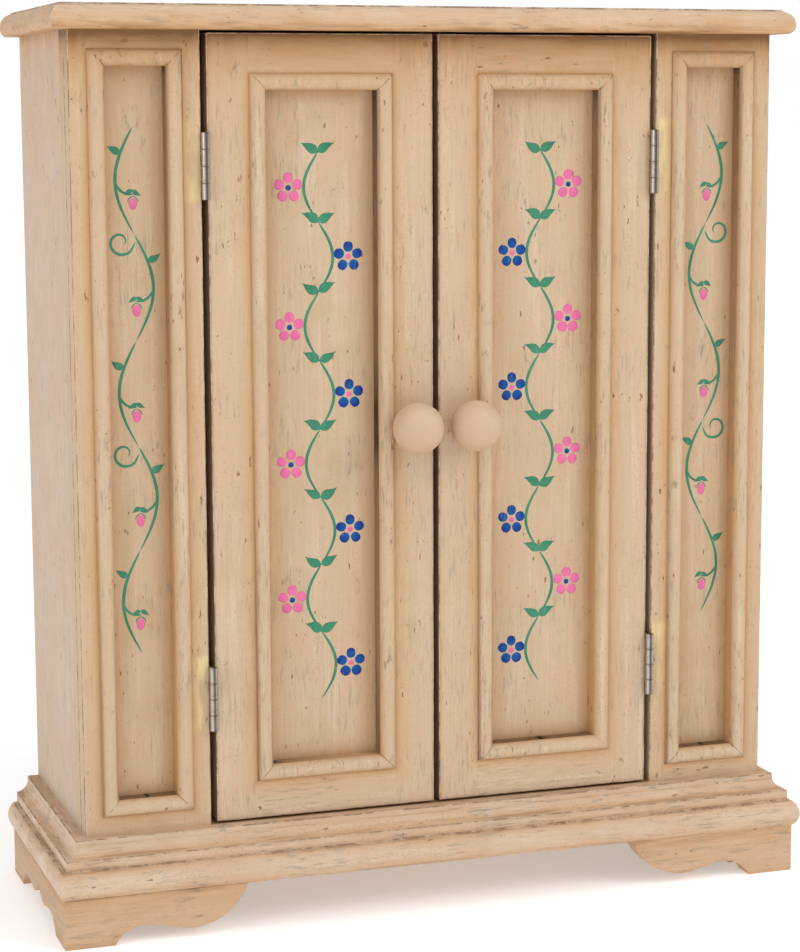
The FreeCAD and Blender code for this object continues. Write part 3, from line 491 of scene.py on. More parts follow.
def knob_paint(name):
    """Cream gloss worn matt by fingers, with turning rings, end grain in the middle and painted
    shade on its lower half.
    """
    paint = look("cabinet_paint")
    coat = Coat(name, **{"Specular IOR Level": 0.42})
    low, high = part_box("left_door_knob")
    middle_x, middle_z = abs(low[0] + high[0]) / 2, (low[2] + high[2]) / 2
    off_x, off_z = abs(coat.x) - middle_x, coat.z - middle_z
    out = (off_x * off_x + off_z * off_z) ** 0.5
    rings = coat.get(
        "ShaderNodeTexNoise", {"noise_dimensions": "1D"},
        {"W": out * 900.0, "Scale": 1.0, "Detail": 2.0},
    )
    mottled = coat.noise(160.0, 3.0, 0.6)
    grain = coat.noise((900.0, 900.0, 120.0), 2.0, 0.5)
    # Painted shade: the knob darker towards its lower half.
    lower_half_shade = ((middle_z + 1.0 * MM - coat.z) / (10.0 * MM)).step(0.0, 1.0)
    base = coat.blend(paint.rosy, paint.pale, mottled.step(0.35, 0.75) * 0.25)
    base = coat.blend(base, paint.foot_cream, lower_half_shade * 0.8 + 0.2)
    base = coat.blend(base, paint.tan, out.fade(2.6 * MM) * (0.22 + 0.25 * grain))
    base = coat.blend(base, paint.glaze, (coat.y - FACE).fade(1.1 * MM) * 0.55)
    matt = 0.42 + 0.14 * mottled
    return coat.wear(base, matt, rings * 0.6 + mottled * 0.6, depth=0.05 * MM)


def bare_wood(name, grain):
    """Pine under thin lacquer: bands of late growth and fine pores."""
    fitting = look("cabinet_fittings")
    coat = Coat(name, **{"Specular IOR Level": 0.35})
    warp = coat.streaks(grain, 26.0, 3.0, 2.0, 0.5)
    bands = coat.get(
        "ShaderNodeTexNoise", {"noise_dimensions": "1D"},
        {"W": warp * 26.0, "Scale": 1.0, "Detail": 3.0, "Roughness": 0.6},
    )
    pores = coat.streaks(grain, 1500.0, 45.0, 2.0, 0.6)
    base = coat.blend(fitting.bare_wood, fitting.dark_grain, bands.step(0.42, 0.72) * 0.5)
    base = coat.blend(base, fitting.dark_grain, pores.step(0.56, 0.70) * 0.45)
    return coat.wear(base, 0.48 + 0.2 * pores, bands * 0.3 - pores * 0.7, depth=0.08 * MM)


def metal(name, tint, polish):
    """Plated metal with a thin brown film in patches."""
    fitting = look("cabinet_fittings")
    coat = Coat(name)
    film_patch = coat.noise(240.0, 3.0, 0.6).step(0.50, 0.74)
    brush = coat.streaks("X", 2600.0, 150.0)
    base = coat.blend(getattr(fitting, tint), fitting.tarnish, film_patch * 0.55)
    matt = polish + 0.22 * brush + 0.25 * film_patch
    return coat.wear(base, matt, brush, depth=0.02 * MM, metal=1 - 0.45 * film_patch)


def hinge_plating(name):
    """Bright plating, dull between the knuckles and browned where they turn, with a painted dark
    reflection down the front of each barrel.
    """
    fitting = look("cabinet_fittings")
    coat = Coat(name)
    upper = coat.z.step(BETWEEN_HINGES - 0.1 * MM, BETWEEN_HINGES + 0.1 * MM)
    low, high = (middle - HINGE_LENGTH / 2 for middle in HINGE_MIDDLES)
    above = (coat.z - low) - upper * (high - low)
    turn = above / KNUCKLE_LENGTH
    joint = abs(turn - coat.maths("ROUND", turn)) * KNUCKLE_LENGTH
    grime = joint.fade(0.28 * MM)
    edge = 1 - abs(abs(coat.x) - HINGE_X).step(1.15 * MM, 1.75 * MM)
    rust = coat.noise(520.0, 3.0, 0.6).step(0.46, 0.70)
    # Painted reflection: a dark stripe down the front of each barrel.
    painted_reflection = abs(abs(coat.x) - HINGE_X + 0.1 * MM).fade(0.6 * MM).step(0.1, 0.7) * 0.8
    film = grime.most((1 - edge) * 0.35).most(rust * 0.45)
    brush = coat.streaks("Z", 2600.0, 150.0, 2.0, 0.5)
    base = coat.blend(fitting.steel, fitting.tarnish, film)
    base = coat.blend(base, (0.045, 0.022, 0.014), painted_reflection)
    matt = 0.20 + 0.2 * brush + 0.3 * film
    return coat.wear(base, matt, brush - grime * 2.0, depth=0.03 * MM, metal=1 - 0.5 * film)


def moulded(name, tint, roughness):
    """Moulded plastic or sintered ferrite with a fine grained skin."""
    tint = getattr(look("cabinet_fittings"), tint)
    coat = Coat(name)
    skin = coat.noise(1400.0, 2.0, 0.6)
    cloud = coat.noise(90.0, 2.0, 0.5)
    darker = tuple(c * 0.8 for c in tint)
    base = coat.blend(tint, darker, cloud.step(0.3, 0.7) * 0.6)
    return coat.wear(base, roughness + 0.15 * skin, skin, depth=0.03 * MM)


def velvet_cloth(name):
    """Short pile: mottled where it has been pressed, soft at grazing angles."""
    fitting = look("cabinet_fittings")
    coat = Coat(name, **{"Sheen Weight": 0.7, "Sheen Roughness": 0.35, "Specular IOR Level": 0.1})
    pile = coat.noise(2400.0, 2.0, 0.6)
    pressed = coat.noise((70.0, 160.0, 160.0), 3.0, 0.6)
    lighter = tuple(min(1.0, c * 1.9 + 0.02) for c in fitting.velvet)
    base = coat.blend(fitting.velvet, lighter, pressed.step(0.40, 0.72) * 0.6)
    base = coat.blend(base, tuple(c * 0.4 for c in fitting.velvet), pile.step(0.5, 0.7) * 0.5)
    return coat.wear(base, 0.78 + 0.2 * pile, pile, depth=0.16 * MM)


def brush_paint(name, light, dark, tone):
    """Artist's paint laid in one stroke: thin in places, darker towards one end."""
    first = getattr(look("cabinet_flowers"), light)
    second = getattr(look("cabinet_flowers"), dark) if dark else tuple(c * 0.8 for c in first)
    coat = Coat(name, **{"Specular IOR Level": 0.2})
    along = coat.named("along")
    bristle = coat.noise((900.0, 900.0, 260.0), 3.0, 0.6)
    cloud = coat.noise(85.0, 2.0, 0.5, shift=2.7)
    amount = (along.step(0.15, 0.95) * tone + cloud.step(0.35, 0.7) * (1 - tone)).least(1.0)
    base = coat.blend(first, second, amount)
    paler = tuple(c + (1 - c) * 0.22 for c in first)
    base = coat.blend(base, paler, bristle.step(0.58, 0.74) * 0.45)
    return coat.wear(base, 0.48 + 0.18 * bristle, bristle, depth=0.04 * MM)


FINISHES = {}


def finish_named(name):
    """Makes a finish the first time that it is asked for."""
    if name not in FINISHES:
        maker, told = MAKERS[name]
        FINISHES[name] = maker(name, **told)
    return FINISHES[name]


# Lines of glaze and painted shade in the mouldings' steps: the height, width and strength of each.
STEP_LINES = (
    (BASE_HIGH, 0.5 * MM, 0.35),
    (BASE_LOW + 19.2 * MM, 0.35 * MM, 0.40),
    (BASE_LOW + 15.5 * MM, 0.7 * MM, 0.60),
    (BASE_LOW + 10.9 * MM, 0.5 * MM, 0.80),
    (BASE_LOW + 0.4 * MM, 0.8 * MM, 0.55),
)
# Painted shade under the base moulding and where the feet stand on the floor.
FOOT_LINES = ((BASE_LOW, 2.2 * MM, 0.6), (0.0, 1.6 * MM, 0.45))
# Darker along the top board's lower edge and at a step just above it.
TOP_LINES = ((CEILING, 1.8 * MM, 1.0), (CEILING + 2.4 * MM, 0.5 * MM, 0.5))
# Painted shade on the sides just under the top board.
SIDE_LINES = ((CEILING, 3.0 * MM, 0.6),)

# Each finish: the function that makes it, and what it is told.
MAKERS = {
    "upright_paint": (aged_paint, {"grain": "Z", "scuffed": 0.3}),
    "level_paint": (aged_paint, {"grain": "X", "scuffed": 0.3}),
    "upright_strip_paint": (aged_paint, {"grain": "Z", "strip": True, "scuffed": 0.75}),
    "level_strip_paint": (aged_paint, {"grain": "X", "strip": True, "scuffed": 1.0}),
    "side_paint": (aged_paint, {
        "grain": "Z", "body": "side_cream", "front": False, "lines": SIDE_LINES, "scuffed": 0.1,
    }),
    "top_paint": (aged_paint, {
        "grain": "X", "body": "edge_cream", "front": False, "lines": TOP_LINES, "scuffed": 0.45,
    }),
    "front_base_paint": (aged_paint, {
        "grain": "X", "body": "edge_cream", "front": False, "lines": STEP_LINES, "scuffed": 1.0,
        "cold": True,
    }),
    "side_base_paint": (aged_paint, {
        "grain": "Y", "body": "side_base_cream", "front": False, "lines": STEP_LINES,
        "scuffed": 0.5,
    }),
    "front_foot_paint": (aged_paint, {
        "grain": "X", "body": "foot_cream", "front": False, "lines": FOOT_LINES, "scuffed": 0.4,
    }),
    "side_foot_paint": (aged_paint, {
        "grain": "Y", "body": "foot_cream", "front": False, "lines": FOOT_LINES, "scuffed": 0.4,
    }),
    "worn_paint": (aged_paint, {"grain": "Z", "front": False, "scuffed": 0.8, "worn": 0.75}),
    "knob_cream": (knob_paint, {}),
    "pine_upright": (bare_wood, {"grain": "Z"}),
    "pine_level": (bare_wood, {"grain": "X"}),
    "pine_deep": (bare_wood, {"grain": "Y"}),
    "hinge_plating": (hinge_plating, {}),
    "zinc_plating": (metal, {"tint": "steel", "polish": 0.35}),
    "stud_brass": (metal, {"tint": "brass", "polish": 0.25}),
    "catch_shell": (moulded, {"tint": "plastic", "roughness": 0.45}),
    "ferrite": (moulded, {"tint": "magnet", "roughness": 0.6}),
    "roll_velvet": (velvet_cloth, {}),
    "vine_green": (brush_paint, {"light": "leaf", "dark": "vine", "tone": 0.3}),
    "leaf_green": (brush_paint, {"light": "leaf", "dark": "vine", "tone": 0.5}),
    "petal_pink": (brush_paint, {"light": "pink", "dark": None, "tone": 0.4}),
    "petal_blue": (brush_paint, {"light": "azure", "dark": "navy", "tone": 0.75}),
}


# --------------------------------------------------------------------- dressed nodes

SURFACES = {}
CONTACT = 0.06 * MM
WELD_WITHIN = 0.002 * MM
FLAT_WITHIN = math.radians(0.4)
SHARP_FROM = math.radians(32)
CREASE_FROM = math.radians(50)


def welded(node):
    """A node's shape with its loose triangles joined into clean faces."""
    shape = bmesh.new()
    shape.from_mesh(frame["nodes"][node].data)
    bmesh.ops.remove_doubles(shape, verts=shape.verts, dist=WELD_WITHIN)
    bmesh.ops.dissolve_limit(
        shape, angle_limit=FLAT_WITHIN, verts=shape.verts, edges=shape.edges
    )
    return shape


def add_piece(name, shape, finishes):
    """A shown object from a finished shape, which is freed."""
    mesh = bpy.data.meshes.new(name)
    shape.to_mesh(mesh)
    shape.free()
    for finish in finishes:
        mesh.materials.append(finish_named(finish))
    piece = bpy.data.objects.new(name, mesh)
    bpy.context.scene.collection.objects.link(piece)
    return piece


def surfaces():
    """Each frame node's surface, to find where pieces meet."""
    if not SURFACES:
        for node, part in frame["nodes"].items():
            points = [vert.co.copy() for vert in part.data.vertices]
            SURFACES[node] = BVHTree.FromPolygons(
                points, [tuple(face.vertices) for face in part.data.polygons]
            )
    return SURFACES




def free_edges(shape, node):
    """Marks the sharp edges that no other piece of the same body lies against."""
    body = frame["nodes"][node]["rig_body"]
    others = [
        tree for name, tree in surfaces().items()
        if name != node and frame["nodes"][name]["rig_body"] == body
    ]
    weight = shape.edges.layers.float.new("bevel_weight_edge")
    for edge in shape.edges:
        if len(edge.link_faces) != 2 or edge.calc_face_angle(0.0) < SHARP_FROM:
            continue
        middle = (edge.verts[0].co + edge.verts[1].co) / 2
        if all(tree.find_nearest(middle, CONTACT)[0] is None for tree in others):
            edge[weight] = 1.0


def soften(piece, width, worn=-1):
    """Rounds the free edges by a fixed width and keeps the broad faces flat."""
    if width:
        bevel = piece.modifiers.new("softened", "BEVEL")
        bevel.width = width
        bevel.segments = 2
        bevel.limit_method = "WEIGHT"
        bevel.material = worn
        make_plain(piece)
    set_normals(piece.data, CREASE_FROM)


def set_normals(mesh, crease):
    """Turns each corner's normal towards the larger faces round it, up to a crease."""
    round_vertex = [[] for _ in mesh.vertices]
    for face in mesh.polygons:
        face.use_smooth = True
        for vertex in face.vertices:
            round_vertex[vertex].append(face)
    limit = math.cos(crease)
    normals = []
    for face in mesh.polygons:
        for vertex in face.vertices:
            turned = face.normal * 1e-12
            for near in round_vertex[vertex]:
                if near.normal.dot(face.normal) > limit:
                    turned += near.normal * near.area
            normals.append(turned.normalized())
    mesh.normals_split_custom_set(normals)


def make_plain(piece):
    """Turns what the modifiers make into the piece's own mesh."""
    graph = bpy.context.evaluated_depsgraph_get()
    graph.update()
    made = bpy.data.meshes.new_from_object(piece.evaluated_get(graph), depsgraph=graph)
    piece.modifiers.clear()
    old, piece.data = piece.data, made
    bpy.data.meshes.remove(old)


def dress(node, finish, slot, softened=None, level_finish=None):
    """Stands a welded, softened copy in a finish for a frame node."""
    width = look("cabinet_paint").softened if softened is None else softened
    shape = welded(node)
    free_edges(shape, node)
    finishes = [finish]
    if level_finish:
        finishes.append(level_finish)
        for face in level_faces(shape):
            face.material_index = 1
    worn = -1
    if slot == "painted_wood":
        worn = len(finishes)
        finishes.append("worn_paint")
    piece = add_piece(f"{node}_dressed", shape, finishes)
    soften(piece, width, worn)
    ride_and_replace(piece, node)
    return piece


def level_faces(shape):
    """Faces of the loose strips that are longer across than upright."""
    seen = set()
    for start in shape.faces:
        if start.index in seen:
            continue
        island, queue = [], [start]
        seen.add(start.index)
        while queue:
            face = queue.pop()
            island.append(face)
            for edge in face.edges:
                for near in edge.link_faces:
                    if near.index not in seen:
                        seen.add(near.index)
                        queue.append(near)
        points = [vert.co for face in island for vert in face.verts]
        wide = max(p.x for p in points) - min(p.x for p in points)
        tall = max(p.z for p in points) - min(p.z for p in points)
        if wide > tall:
            yield from island


def ride_and_replace(piece, node):
    body = frame["nodes"][node]["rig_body"]
    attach(piece, body)
    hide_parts(node)


def repaint(node, finish):
    """Gives a frame node that is shown as it is a better finish."""
    part = frame["nodes"][node]
    for place in part.material_slots:
        place.material = finish_named(finish)


# --------------------------------------------------------------------- painted strokes

LINE_POINTS = 9
PETALS = 5
TUCKED = 0.15 * MM


def stroke_nodes():
    """The tree that turns drawn lines into flat, tapered strokes of paint."""
    tree = bpy.data.node_groups.new("brush_strokes", "GeometryNodeTree")
    face = tree.interface
    face.new_socket("Geometry", in_out="INPUT", socket_type="NodeSocketGeometry")
    for label, value in (
        ("Width", 1.0 * MM), ("Flatness", 0.1), ("Point fineness", 0.5), ("Belly", 1.0),
        ("Unevenness", 0.12), ("Panel face", 0.0),
    ):
        made = face.new_socket(label, in_out="INPUT", socket_type="NodeSocketFloat")
        made.default_value = value
    steps = face.new_socket("Steps", in_out="INPUT", socket_type="NodeSocketInt")
    steps.default_value = 12
    face.new_socket("Paint", in_out="INPUT", socket_type="NodeSocketMaterial")
    face.new_socket("Geometry", in_out="OUTPUT", socket_type="NodeSocketGeometry")

    def add(kind, settings=None, values=None):
        made = add_node(tree, kind, settings, values)
        return made.outputs[0] if made.outputs else made

    def maths(operation, *values):
        return add("ShaderNodeMath", {"operation": operation}, dict(enumerate(values)))

    given = tree.nodes.new("NodeGroupInput").outputs
    lines = add("GeometryNodeMeshToCurve", values={"Mesh": given["Geometry"]})
    lines = add("GeometryNodeCurveSplineType", {"spline_type": "CATMULL_ROM"}, {"Curve": lines})
    lines = add("GeometryNodeResampleCurve", {"mode": "COUNT"},
                {"Curve": lines, "Count": given["Steps"]})
    along = add("GeometryNodeSplineParameter")
    lines = add("GeometryNodeStoreNamedAttribute", {"data_type": "FLOAT", "domain": "POINT"},
                {"Geometry": lines, "Name": "along", "Value": along})
    warped = maths("POWER", along, given["Belly"])
    arch = maths("SINE", maths("MULTIPLY", warped, math.pi))
    taper = maths("POWER", maths("MAXIMUM", arch, 0.0), given["Point fineness"])
    taper = maths("MAXIMUM", taper, 0.06)
    heft = add("GeometryNodeInputNamedAttribute", {"data_type": "FLOAT"}, {"Name": "heft"})
    place = add("GeometryNodeInputPosition")
    shake = add("ShaderNodeTexNoise", values={"Vector": place, "Scale": 420.0, "Detail": 1.0})
    shake = maths("MULTIPLY", maths("SUBTRACT", shake, 0.5), given["Unevenness"])
    wide = maths("MULTIPLY", maths("MULTIPLY", taper, heft), given["Width"])
    wide = maths("MULTIPLY", wide, maths("ADD", shake, 1.0))
    tip = add("GeometryNodeCurvePrimitiveCircle", values={"Resolution": 10, "Radius": 0.5})
    squash = add("ShaderNodeCombineXYZ", values={0: 1.0, 1: given["Flatness"], 2: 1.0})
    tip = add("GeometryNodeTransform", values={"Geometry": tip, "Scale": squash})
    upright = add("GeometryNodeSetCurveNormal", {"mode": "Z_UP"}, {"Curve": lines})
    body = add("GeometryNodeCurveToMesh", values={
        "Curve": upright, "Profile Curve": tip, "Scale": wide, "Fill Caps": True,
    })
    set_back = add("ShaderNodeCombineXYZ", values={1: given["Panel face"]})
    body = add("GeometryNodeTransform", values={
        "Geometry": body, "Rotation": (math.pi / 2, 0.0, 0.0), "Translation": set_back,
    })
    body = add("GeometryNodeSetShadeSmooth", values={"Geometry": body})
    body = add("GeometryNodeRealizeInstances", values={"Geometry": body})
    body = add("GeometryNodeSetMaterial", values={"Geometry": body, "Material": given["Paint"]})
    add("NodeGroupOutput", values={"Geometry": body})
    return tree


def sway(top, foot, middle, reach, turns):
    """A hanging line that swings evenly to both sides of its middle."""
    line = []
    for step in range(LINE_POINTS):
        share = step / (LINE_POINTS - 1)
        line.append((middle + reach * math.sin(math.tau * turns * share),
                     top + (foot - top) * share))
    return line


def curl(x, z, radius, start, sweep, closing=0.72):
    """An arc about x, z whose radius shrinks as it turns."""
    line = []
    for step in range(LINE_POINTS):
        share = step / (LINE_POINTS - 1)
        out, angle = radius * (1 - closing * share), math.radians(start + sweep * share)
        line.append((x + out * math.cos(angle), z + out * math.sin(angle)))
    return line


class Motif:
    """The strokes painted on one panel, in mm from the middle of its foot."""

    def __init__(self, chance, hand):
        self.chance, self.hand = chance, hand
        self.vines, self.leaves, self.buds, self.petals, self.blue_petals = [], [], [], [], []

    def add(self, kind, heft, points):
        """One stroke, turned over on the right-hand panels."""
        points = [(x * self.hand * MM, z * MM) for x, z in points]
        getattr(self, kind).append((heft, points))

    def bent(self, x, z, turn, size, bow):
        """Three points from a place along a heading, bowed to one side."""
        way = Vector((math.cos(math.radians(turn)), math.sin(math.radians(turn))))
        side = Vector((-way.y, way.x)) * bow * size
        start = Vector((x, z))
        return [tuple(start), tuple(start + way * size * 0.5 + side), tuple(start + way * size)]

    def leaf(self, x, z, turn, size):
        width = look("cabinet_flowers").leaf_width * self.chance.uniform(0.92, 1.08)
        bow = self.chance.uniform(-0.10, 0.10)
        self.add("leaves", size * width, self.bent(x, z, turn, size, bow))

    def bud(self, x, z, size=4.8):
        """A hanging bud with two sepals and a pair of small leaves above it."""
        width = size * look("cabinet_flowers").bud_width
        self.add("buds", width, self.bent(x, z, -90, size, 0.0))
        for side in (-1, 1):
            tip = (x + side * width * 0.62, z - size * 0.4)
            cheek = (x + side * width * 0.5, z - size * 0.1)
            self.add("vines", 0.38, [(x, z + size * 0.15), cheek, tip])
            self.leaf(x, z + size * 0.6, -90 + side * 58, size * 0.8)

    def blossom(self, kinds, x, z, size):
        """Five plain petals round a small heart of the other colour."""
        petal_kind, heart_kind = kinds
        for petal in range(PETALS):
            angle = 90 + petal * 360 / PETALS
            out = math.radians(angle)
            start = (x + size * 0.30 * math.cos(out), z + size * 0.30 * math.sin(out))
            width = size * 0.66 * self.chance.uniform(0.94, 1.06)
            self.add(petal_kind, width, self.bent(*start, angle, size * 0.70, 0.0))
        self.add(heart_kind, size * 0.36, self.bent(x, z + size * 0.18, -90, size * 0.36, 0.0))


def trailing_vine(motif, half, tall):
    """A stem that sways down the panel: each bay has a bud, a leaf and every other a curl."""
    bays, top, foot = 5, tall * 0.92, tall * 0.20
    bay_height, reach = (top - foot) / bays, half * 0.6
    for bay in range(bays):
        side = 1 if bay % 2 else -1
        high = top - bay * bay_height
        crest = high - bay_height * 0.5
        motif.add("vines", 1.0, sway(high, high - bay_height, 0.0, side * reach, 0.5))
        motif.add("vines", 0.8, curl(0.0, crest, reach, 90 - side * 90, -side * 90, closing=0.3))
        motif.bud(side * reach * 0.05, crest - reach * 0.9)
        motif.leaf(side * reach * 0.7, high - bay_height * 0.25, 90 - side * 60, half * 0.5)
        if bay % 2:
            across, curl_radius = -side * half * 0.46, half * 0.48
            motif.add("vines", 0.9, curl(
                across, high - curl_radius * 0.5, curl_radius, 90 - side * 90, -side * 400,
            ))


def flower_garland(motif, half, tall):
    """A stem with a plain blossom at each turn and a pair of leaves between, all evenly spaced."""
    bays, top, foot = 8, tall * 0.91, tall * 0.09
    bay_height, reach = (top - foot) / bays, half * 0.26
    for bay in range(bays):
        side = 1 if bay % 2 else -1
        high = top - bay * bay_height
        crest = high - bay_height * 0.5
        motif.add("vines", 1.0, sway(high, high - bay_height, 0.0, side * reach, 0.5))
        for hand in (-1, 1):
            motif.leaf(0.0, high, 90 - hand * 62, half * 0.34)
        kinds = ("blue_petals", "petals") if bay % 2 else ("petals", "blue_petals")
        middle = side * (reach + half * 0.28)
        motif.blossom(kinds, middle, crest, half * 0.27)


MOTIFS = (
    ("left_pilaster", trailing_vine, 1), ("right_pilaster", trailing_vine, -1),
    ("left_door", flower_garland, 1), ("right_door", flower_garland, -1),
)


def line_mesh(name, strokes, shift):
    """Strokes as loose edges, each point with its heft."""
    mesh = bpy.data.meshes.new(name)
    points, edges, hefts = [], [], []
    for heft, stroke in strokes:
        first = len(points)
        for x, z in stroke:
            points.append((x + shift[0], z + shift[1], 0.0))
            hefts.append(heft)
        edges += [(k, k + 1) for k in range(first, len(points) - 1)]
    mesh.from_pydata(points, edges, [])
    mesh.attributes.new("heft", "FLOAT", "POINT").data.foreach_set("value", hefts)
    return mesh


def paint_strokes(tree, name, strokes, panel, values):
    """Runs the stroke tree over drawn lines and trims the result to the panel that shows."""
    low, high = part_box(f"{panel}_moulding")
    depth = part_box(f"{panel}_panel")[0][1]
    shift = ((low[0] + high[0]) / 2, low[2] + BEAD_WIDTH)
    lines = line_mesh(f"{name}_lines", strokes, shift)
    brush = bpy.data.objects.new(f"{name}_brush", lines)
    bpy.context.scene.collection.objects.link(brush)
    modifier = brush.modifiers.new("strokes", "NODES")
    modifier.node_group = tree
    values = {**values, "Panel face": depth}
    for item in tree.interface.items_tree:
        if item.in_out == "INPUT" and item.name in values:
            modifier[item.identifier] = values[item.name]
    make_plain(brush)
    painted = brush.data
    bpy.data.objects.remove(brush)
    shape = bmesh.new()
    shape.from_mesh(painted)
    inset = BEAD_WIDTH - TUCKED
    for place, way in (
        ((low[0] + inset, 0, 0), (-1, 0, 0)), ((high[0] - inset, 0, 0), (1, 0, 0)),
    ):
        parts = shape.verts[:] + shape.edges[:] + shape.faces[:]
        cut = bmesh.ops.bisect_plane(
            shape, geom=parts, plane_co=place, plane_no=way, clear_outer=True
        )
        rim = [e for e in cut["geom_cut"] if isinstance(e, bmesh.types.BMEdge)]
        bmesh.ops.holes_fill(shape, edges=rim, sides=0)
    bmesh.ops.recalc_face_normals(shape, faces=shape.faces)
    shape.to_mesh(painted)
    shape.free()
    painted.name = name
    piece = bpy.data.objects.new(name, painted)
    bpy.context.scene.collection.objects.link(piece)
    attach(piece, frame["nodes"][f"{panel}_panel"]["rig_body"])
    return piece


# ------------------------------------------------------------------------- operators

class Maker(bpy.types.Operator):
    """Shared by the operators that make the pieces."""

    bl_options = {"REGISTER", "UNDO"}


class CABINET_OT_carcass(Maker):
    """Paints the side panels and the top board and finishes the back and the floor"""

    bl_idname = "cabinet.carcass"
    bl_label = "Carcass"

    def execute(self, context):
        for side in SIDES:
            dress(f"{side}_side_panel", "side_paint", "painted_wood")
        dress("top_board", "top_paint", "painted_wood")
        dress("back_panel", "pine_upright", "plain_wood")
        dress("floor_board", "pine_level", "plain_wood")
        dress("back_base_rail", "pine_level", "plain_wood")
        return {"FINISHED"}


def dress_panelled(unit, stiles):
    """Paints the stiles, rails, panel and moulding of both sides' doors or pilasters."""
    for side in SIDES:
        for part in (*stiles, "panel"):
            dress(f"{side}_{unit}_{part}", "upright_paint", "painted_wood")
        for part in ("top_rail", "bottom_rail"):
            dress(f"{side}_{unit}_{part}", "level_paint", "painted_wood")
        dress(f"{side}_{unit}_moulding", "upright_strip_paint", "painted_wood",
              level_finish="level_strip_paint")


class CABINET_OT_pilasters(Maker):
    """Paints the two fixed pilasters with their panels and mouldings"""

    bl_idname = "cabinet.pilasters"
    bl_label = "Pilasters"

    def execute(self, context):
        dress_panelled("pilaster", ("inner_stile", "outer_stile"))
        return {"FINISHED"}


class CABINET_OT_doors(Maker):
    """Paints the two doors with their panels and mouldings"""

    bl_idname = "cabinet.doors"
    bl_label = "Doors"

    def execute(self, context):
        dress_panelled("door", ("hinge_stile", "lock_stile"))
        return {"FINISHED"}


class CABINET_OT_base(Maker):
    """Paints the base moulding and the bracket feet"""

    bl_idname = "cabinet.base"
    bl_label = "Base and feet"

    def execute(self, context):
        dress("front_base_moulding", "front_base_paint", "painted_wood")
        for side in SIDES:
            dress(f"{side}_base_moulding", "side_base_paint", "painted_wood")
            dress(f"{side}_front_foot", "front_foot_paint", "painted_wood")
            dress(f"{side}_side_feet", "side_foot_paint", "painted_wood")
        dress("corner_blocks", "pine_upright", "plain_wood")
        return {"FINISHED"}


class CABINET_OT_knobs(Maker):
    """Paints the ball knobs and plates their screws"""

    bl_idname = "cabinet.knobs"
    bl_label = "Knobs"

    def execute(self, context):
        for side in SIDES:
            dress(f"{side}_door_knob", "knob_cream", "knob_paint", softened=0.0)
            repaint(f"{side}_door_knob_screw", "zinc_plating")
        return {"FINISHED"}


class CABINET_OT_hinges(Maker):
    """Plates the hinge leaves, pins and screws"""

    bl_idname = "cabinet.hinges"
    bl_label = "Hinges"

    def execute(self, context):
        for node in ("frame_hinge_leaves", "left_door_hinge_leaves", "right_door_hinge_leaves",
                     "hinge_pins"):
            dress(node, "hinge_plating", "hinge_steel", softened=0.12 * MM)
        for node in ("frame_hinge_screws", "left_door_hinge_screws", "right_door_hinge_screws"):
            repaint(node, "hinge_plating")
        return {"FINISHED"}


class CABINET_OT_fittings(Maker):
    """Finishes the shelf, its studs, the necklace pegs and the catch"""

    bl_idname = "cabinet.fittings"
    bl_label = "Inside fittings"

    def execute(self, context):
        for node, finish in (
            ("shelf", "pine_level"), ("necklace_peg_rail", "pine_level"),
            ("necklace_pegs", "pine_deep"), ("ring_pad_board", "pine_level"),
        ):
            dress(node, finish, "plain_wood", softened=0.25 * MM)
        dress("catch_housing", "catch_shell", "catch_plastic", softened=0.3 * MM)
        repaint("shelf_studs", "stud_brass")
        repaint("catch_magnets", "ferrite")
        for side in SIDES:
            repaint(f"{side}_door_strike_plate", "zinc_plating")
        return {"FINISHED"}


ROLL_VOXEL = 1.4 * MM
ROLL_CAP = 0.45 * MM
ROLL_FRAMES = 20
ROLL_LENGTH_SHARE, ROLL_HEIGHT_SHARE = 0.985, 0.93
ROLL_GLUED = 0.8 * MM
ROLL_PRESSURE = 4.0
SEAM_INSET, SEAM_WIDTH, SEAM_DEPTH = 5.0 * MM, 0.9 * MM, 0.28 * MM
CREASE_DEPTH = 0.14 * MM


class CABINET_OT_ring_rolls(Maker):
    """Makes the padded velvet rolls that hold rings"""

    bl_idname = "cabinet.ring_rolls"
    bl_label = "Ring rolls"

    def execute(self, context):
        shape = welded("ring_rolls")
        low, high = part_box("ring_rolls")
        middle = (low + high) / 2
        for vert in shape.verts:
            vert.co.x = middle.x + (vert.co.x - middle.x) * ROLL_LENGTH_SHARE
            vert.co.z = low.z + (vert.co.z - low.z) * ROLL_HEIGHT_SHARE
        piece = add_piece("ring_rolls_velvet", shape, ["roll_velvet"])
        remesh = piece.modifiers.new("even", "REMESH")
        remesh.mode = "VOXEL"
        remesh.voxel_size = ROLL_VOXEL
        make_plain(piece)
        rest = [vert.co.copy() for vert in piece.data.vertices]
        puff(piece, low.z)
        stitched(piece, rest, low, high)
        for face in piece.data.polygons:
            face.use_smooth = True
        smooth = piece.modifiers.new("smooth", "SUBSURF")
        smooth.levels = smooth.render_levels = 1
        make_plain(piece)
        ride_and_replace(piece, "ring_rolls")
        return {"FINISHED"}


def puff(piece, floor):
    """Fills the cover from inside with its glued underside held."""
    held = piece.vertex_groups.new(name="held")
    glued = [v.index for v in piece.data.vertices if v.co.z < floor + ROLL_GLUED]
    held.add(glued, 1.0, "REPLACE")
    cloth = piece.modifiers.new("puff", "CLOTH")
    cloth.settings.vertex_group_mass = "held"
    cloth.settings.quality = 5
    cloth.settings.mass = 0.1
    cloth.settings.use_pressure = True
    cloth.settings.uniform_pressure_force = ROLL_PRESSURE
    cloth.settings.effector_weights.gravity = 0.0
    cloth.point_cache.frame_start = 1
    cloth.point_cache.frame_end = ROLL_FRAMES
    scene = bpy.context.scene
    for step in range(1, ROLL_FRAMES + 1):
        scene.frame_set(step)
    make_plain(piece)
    scene.frame_set(1)


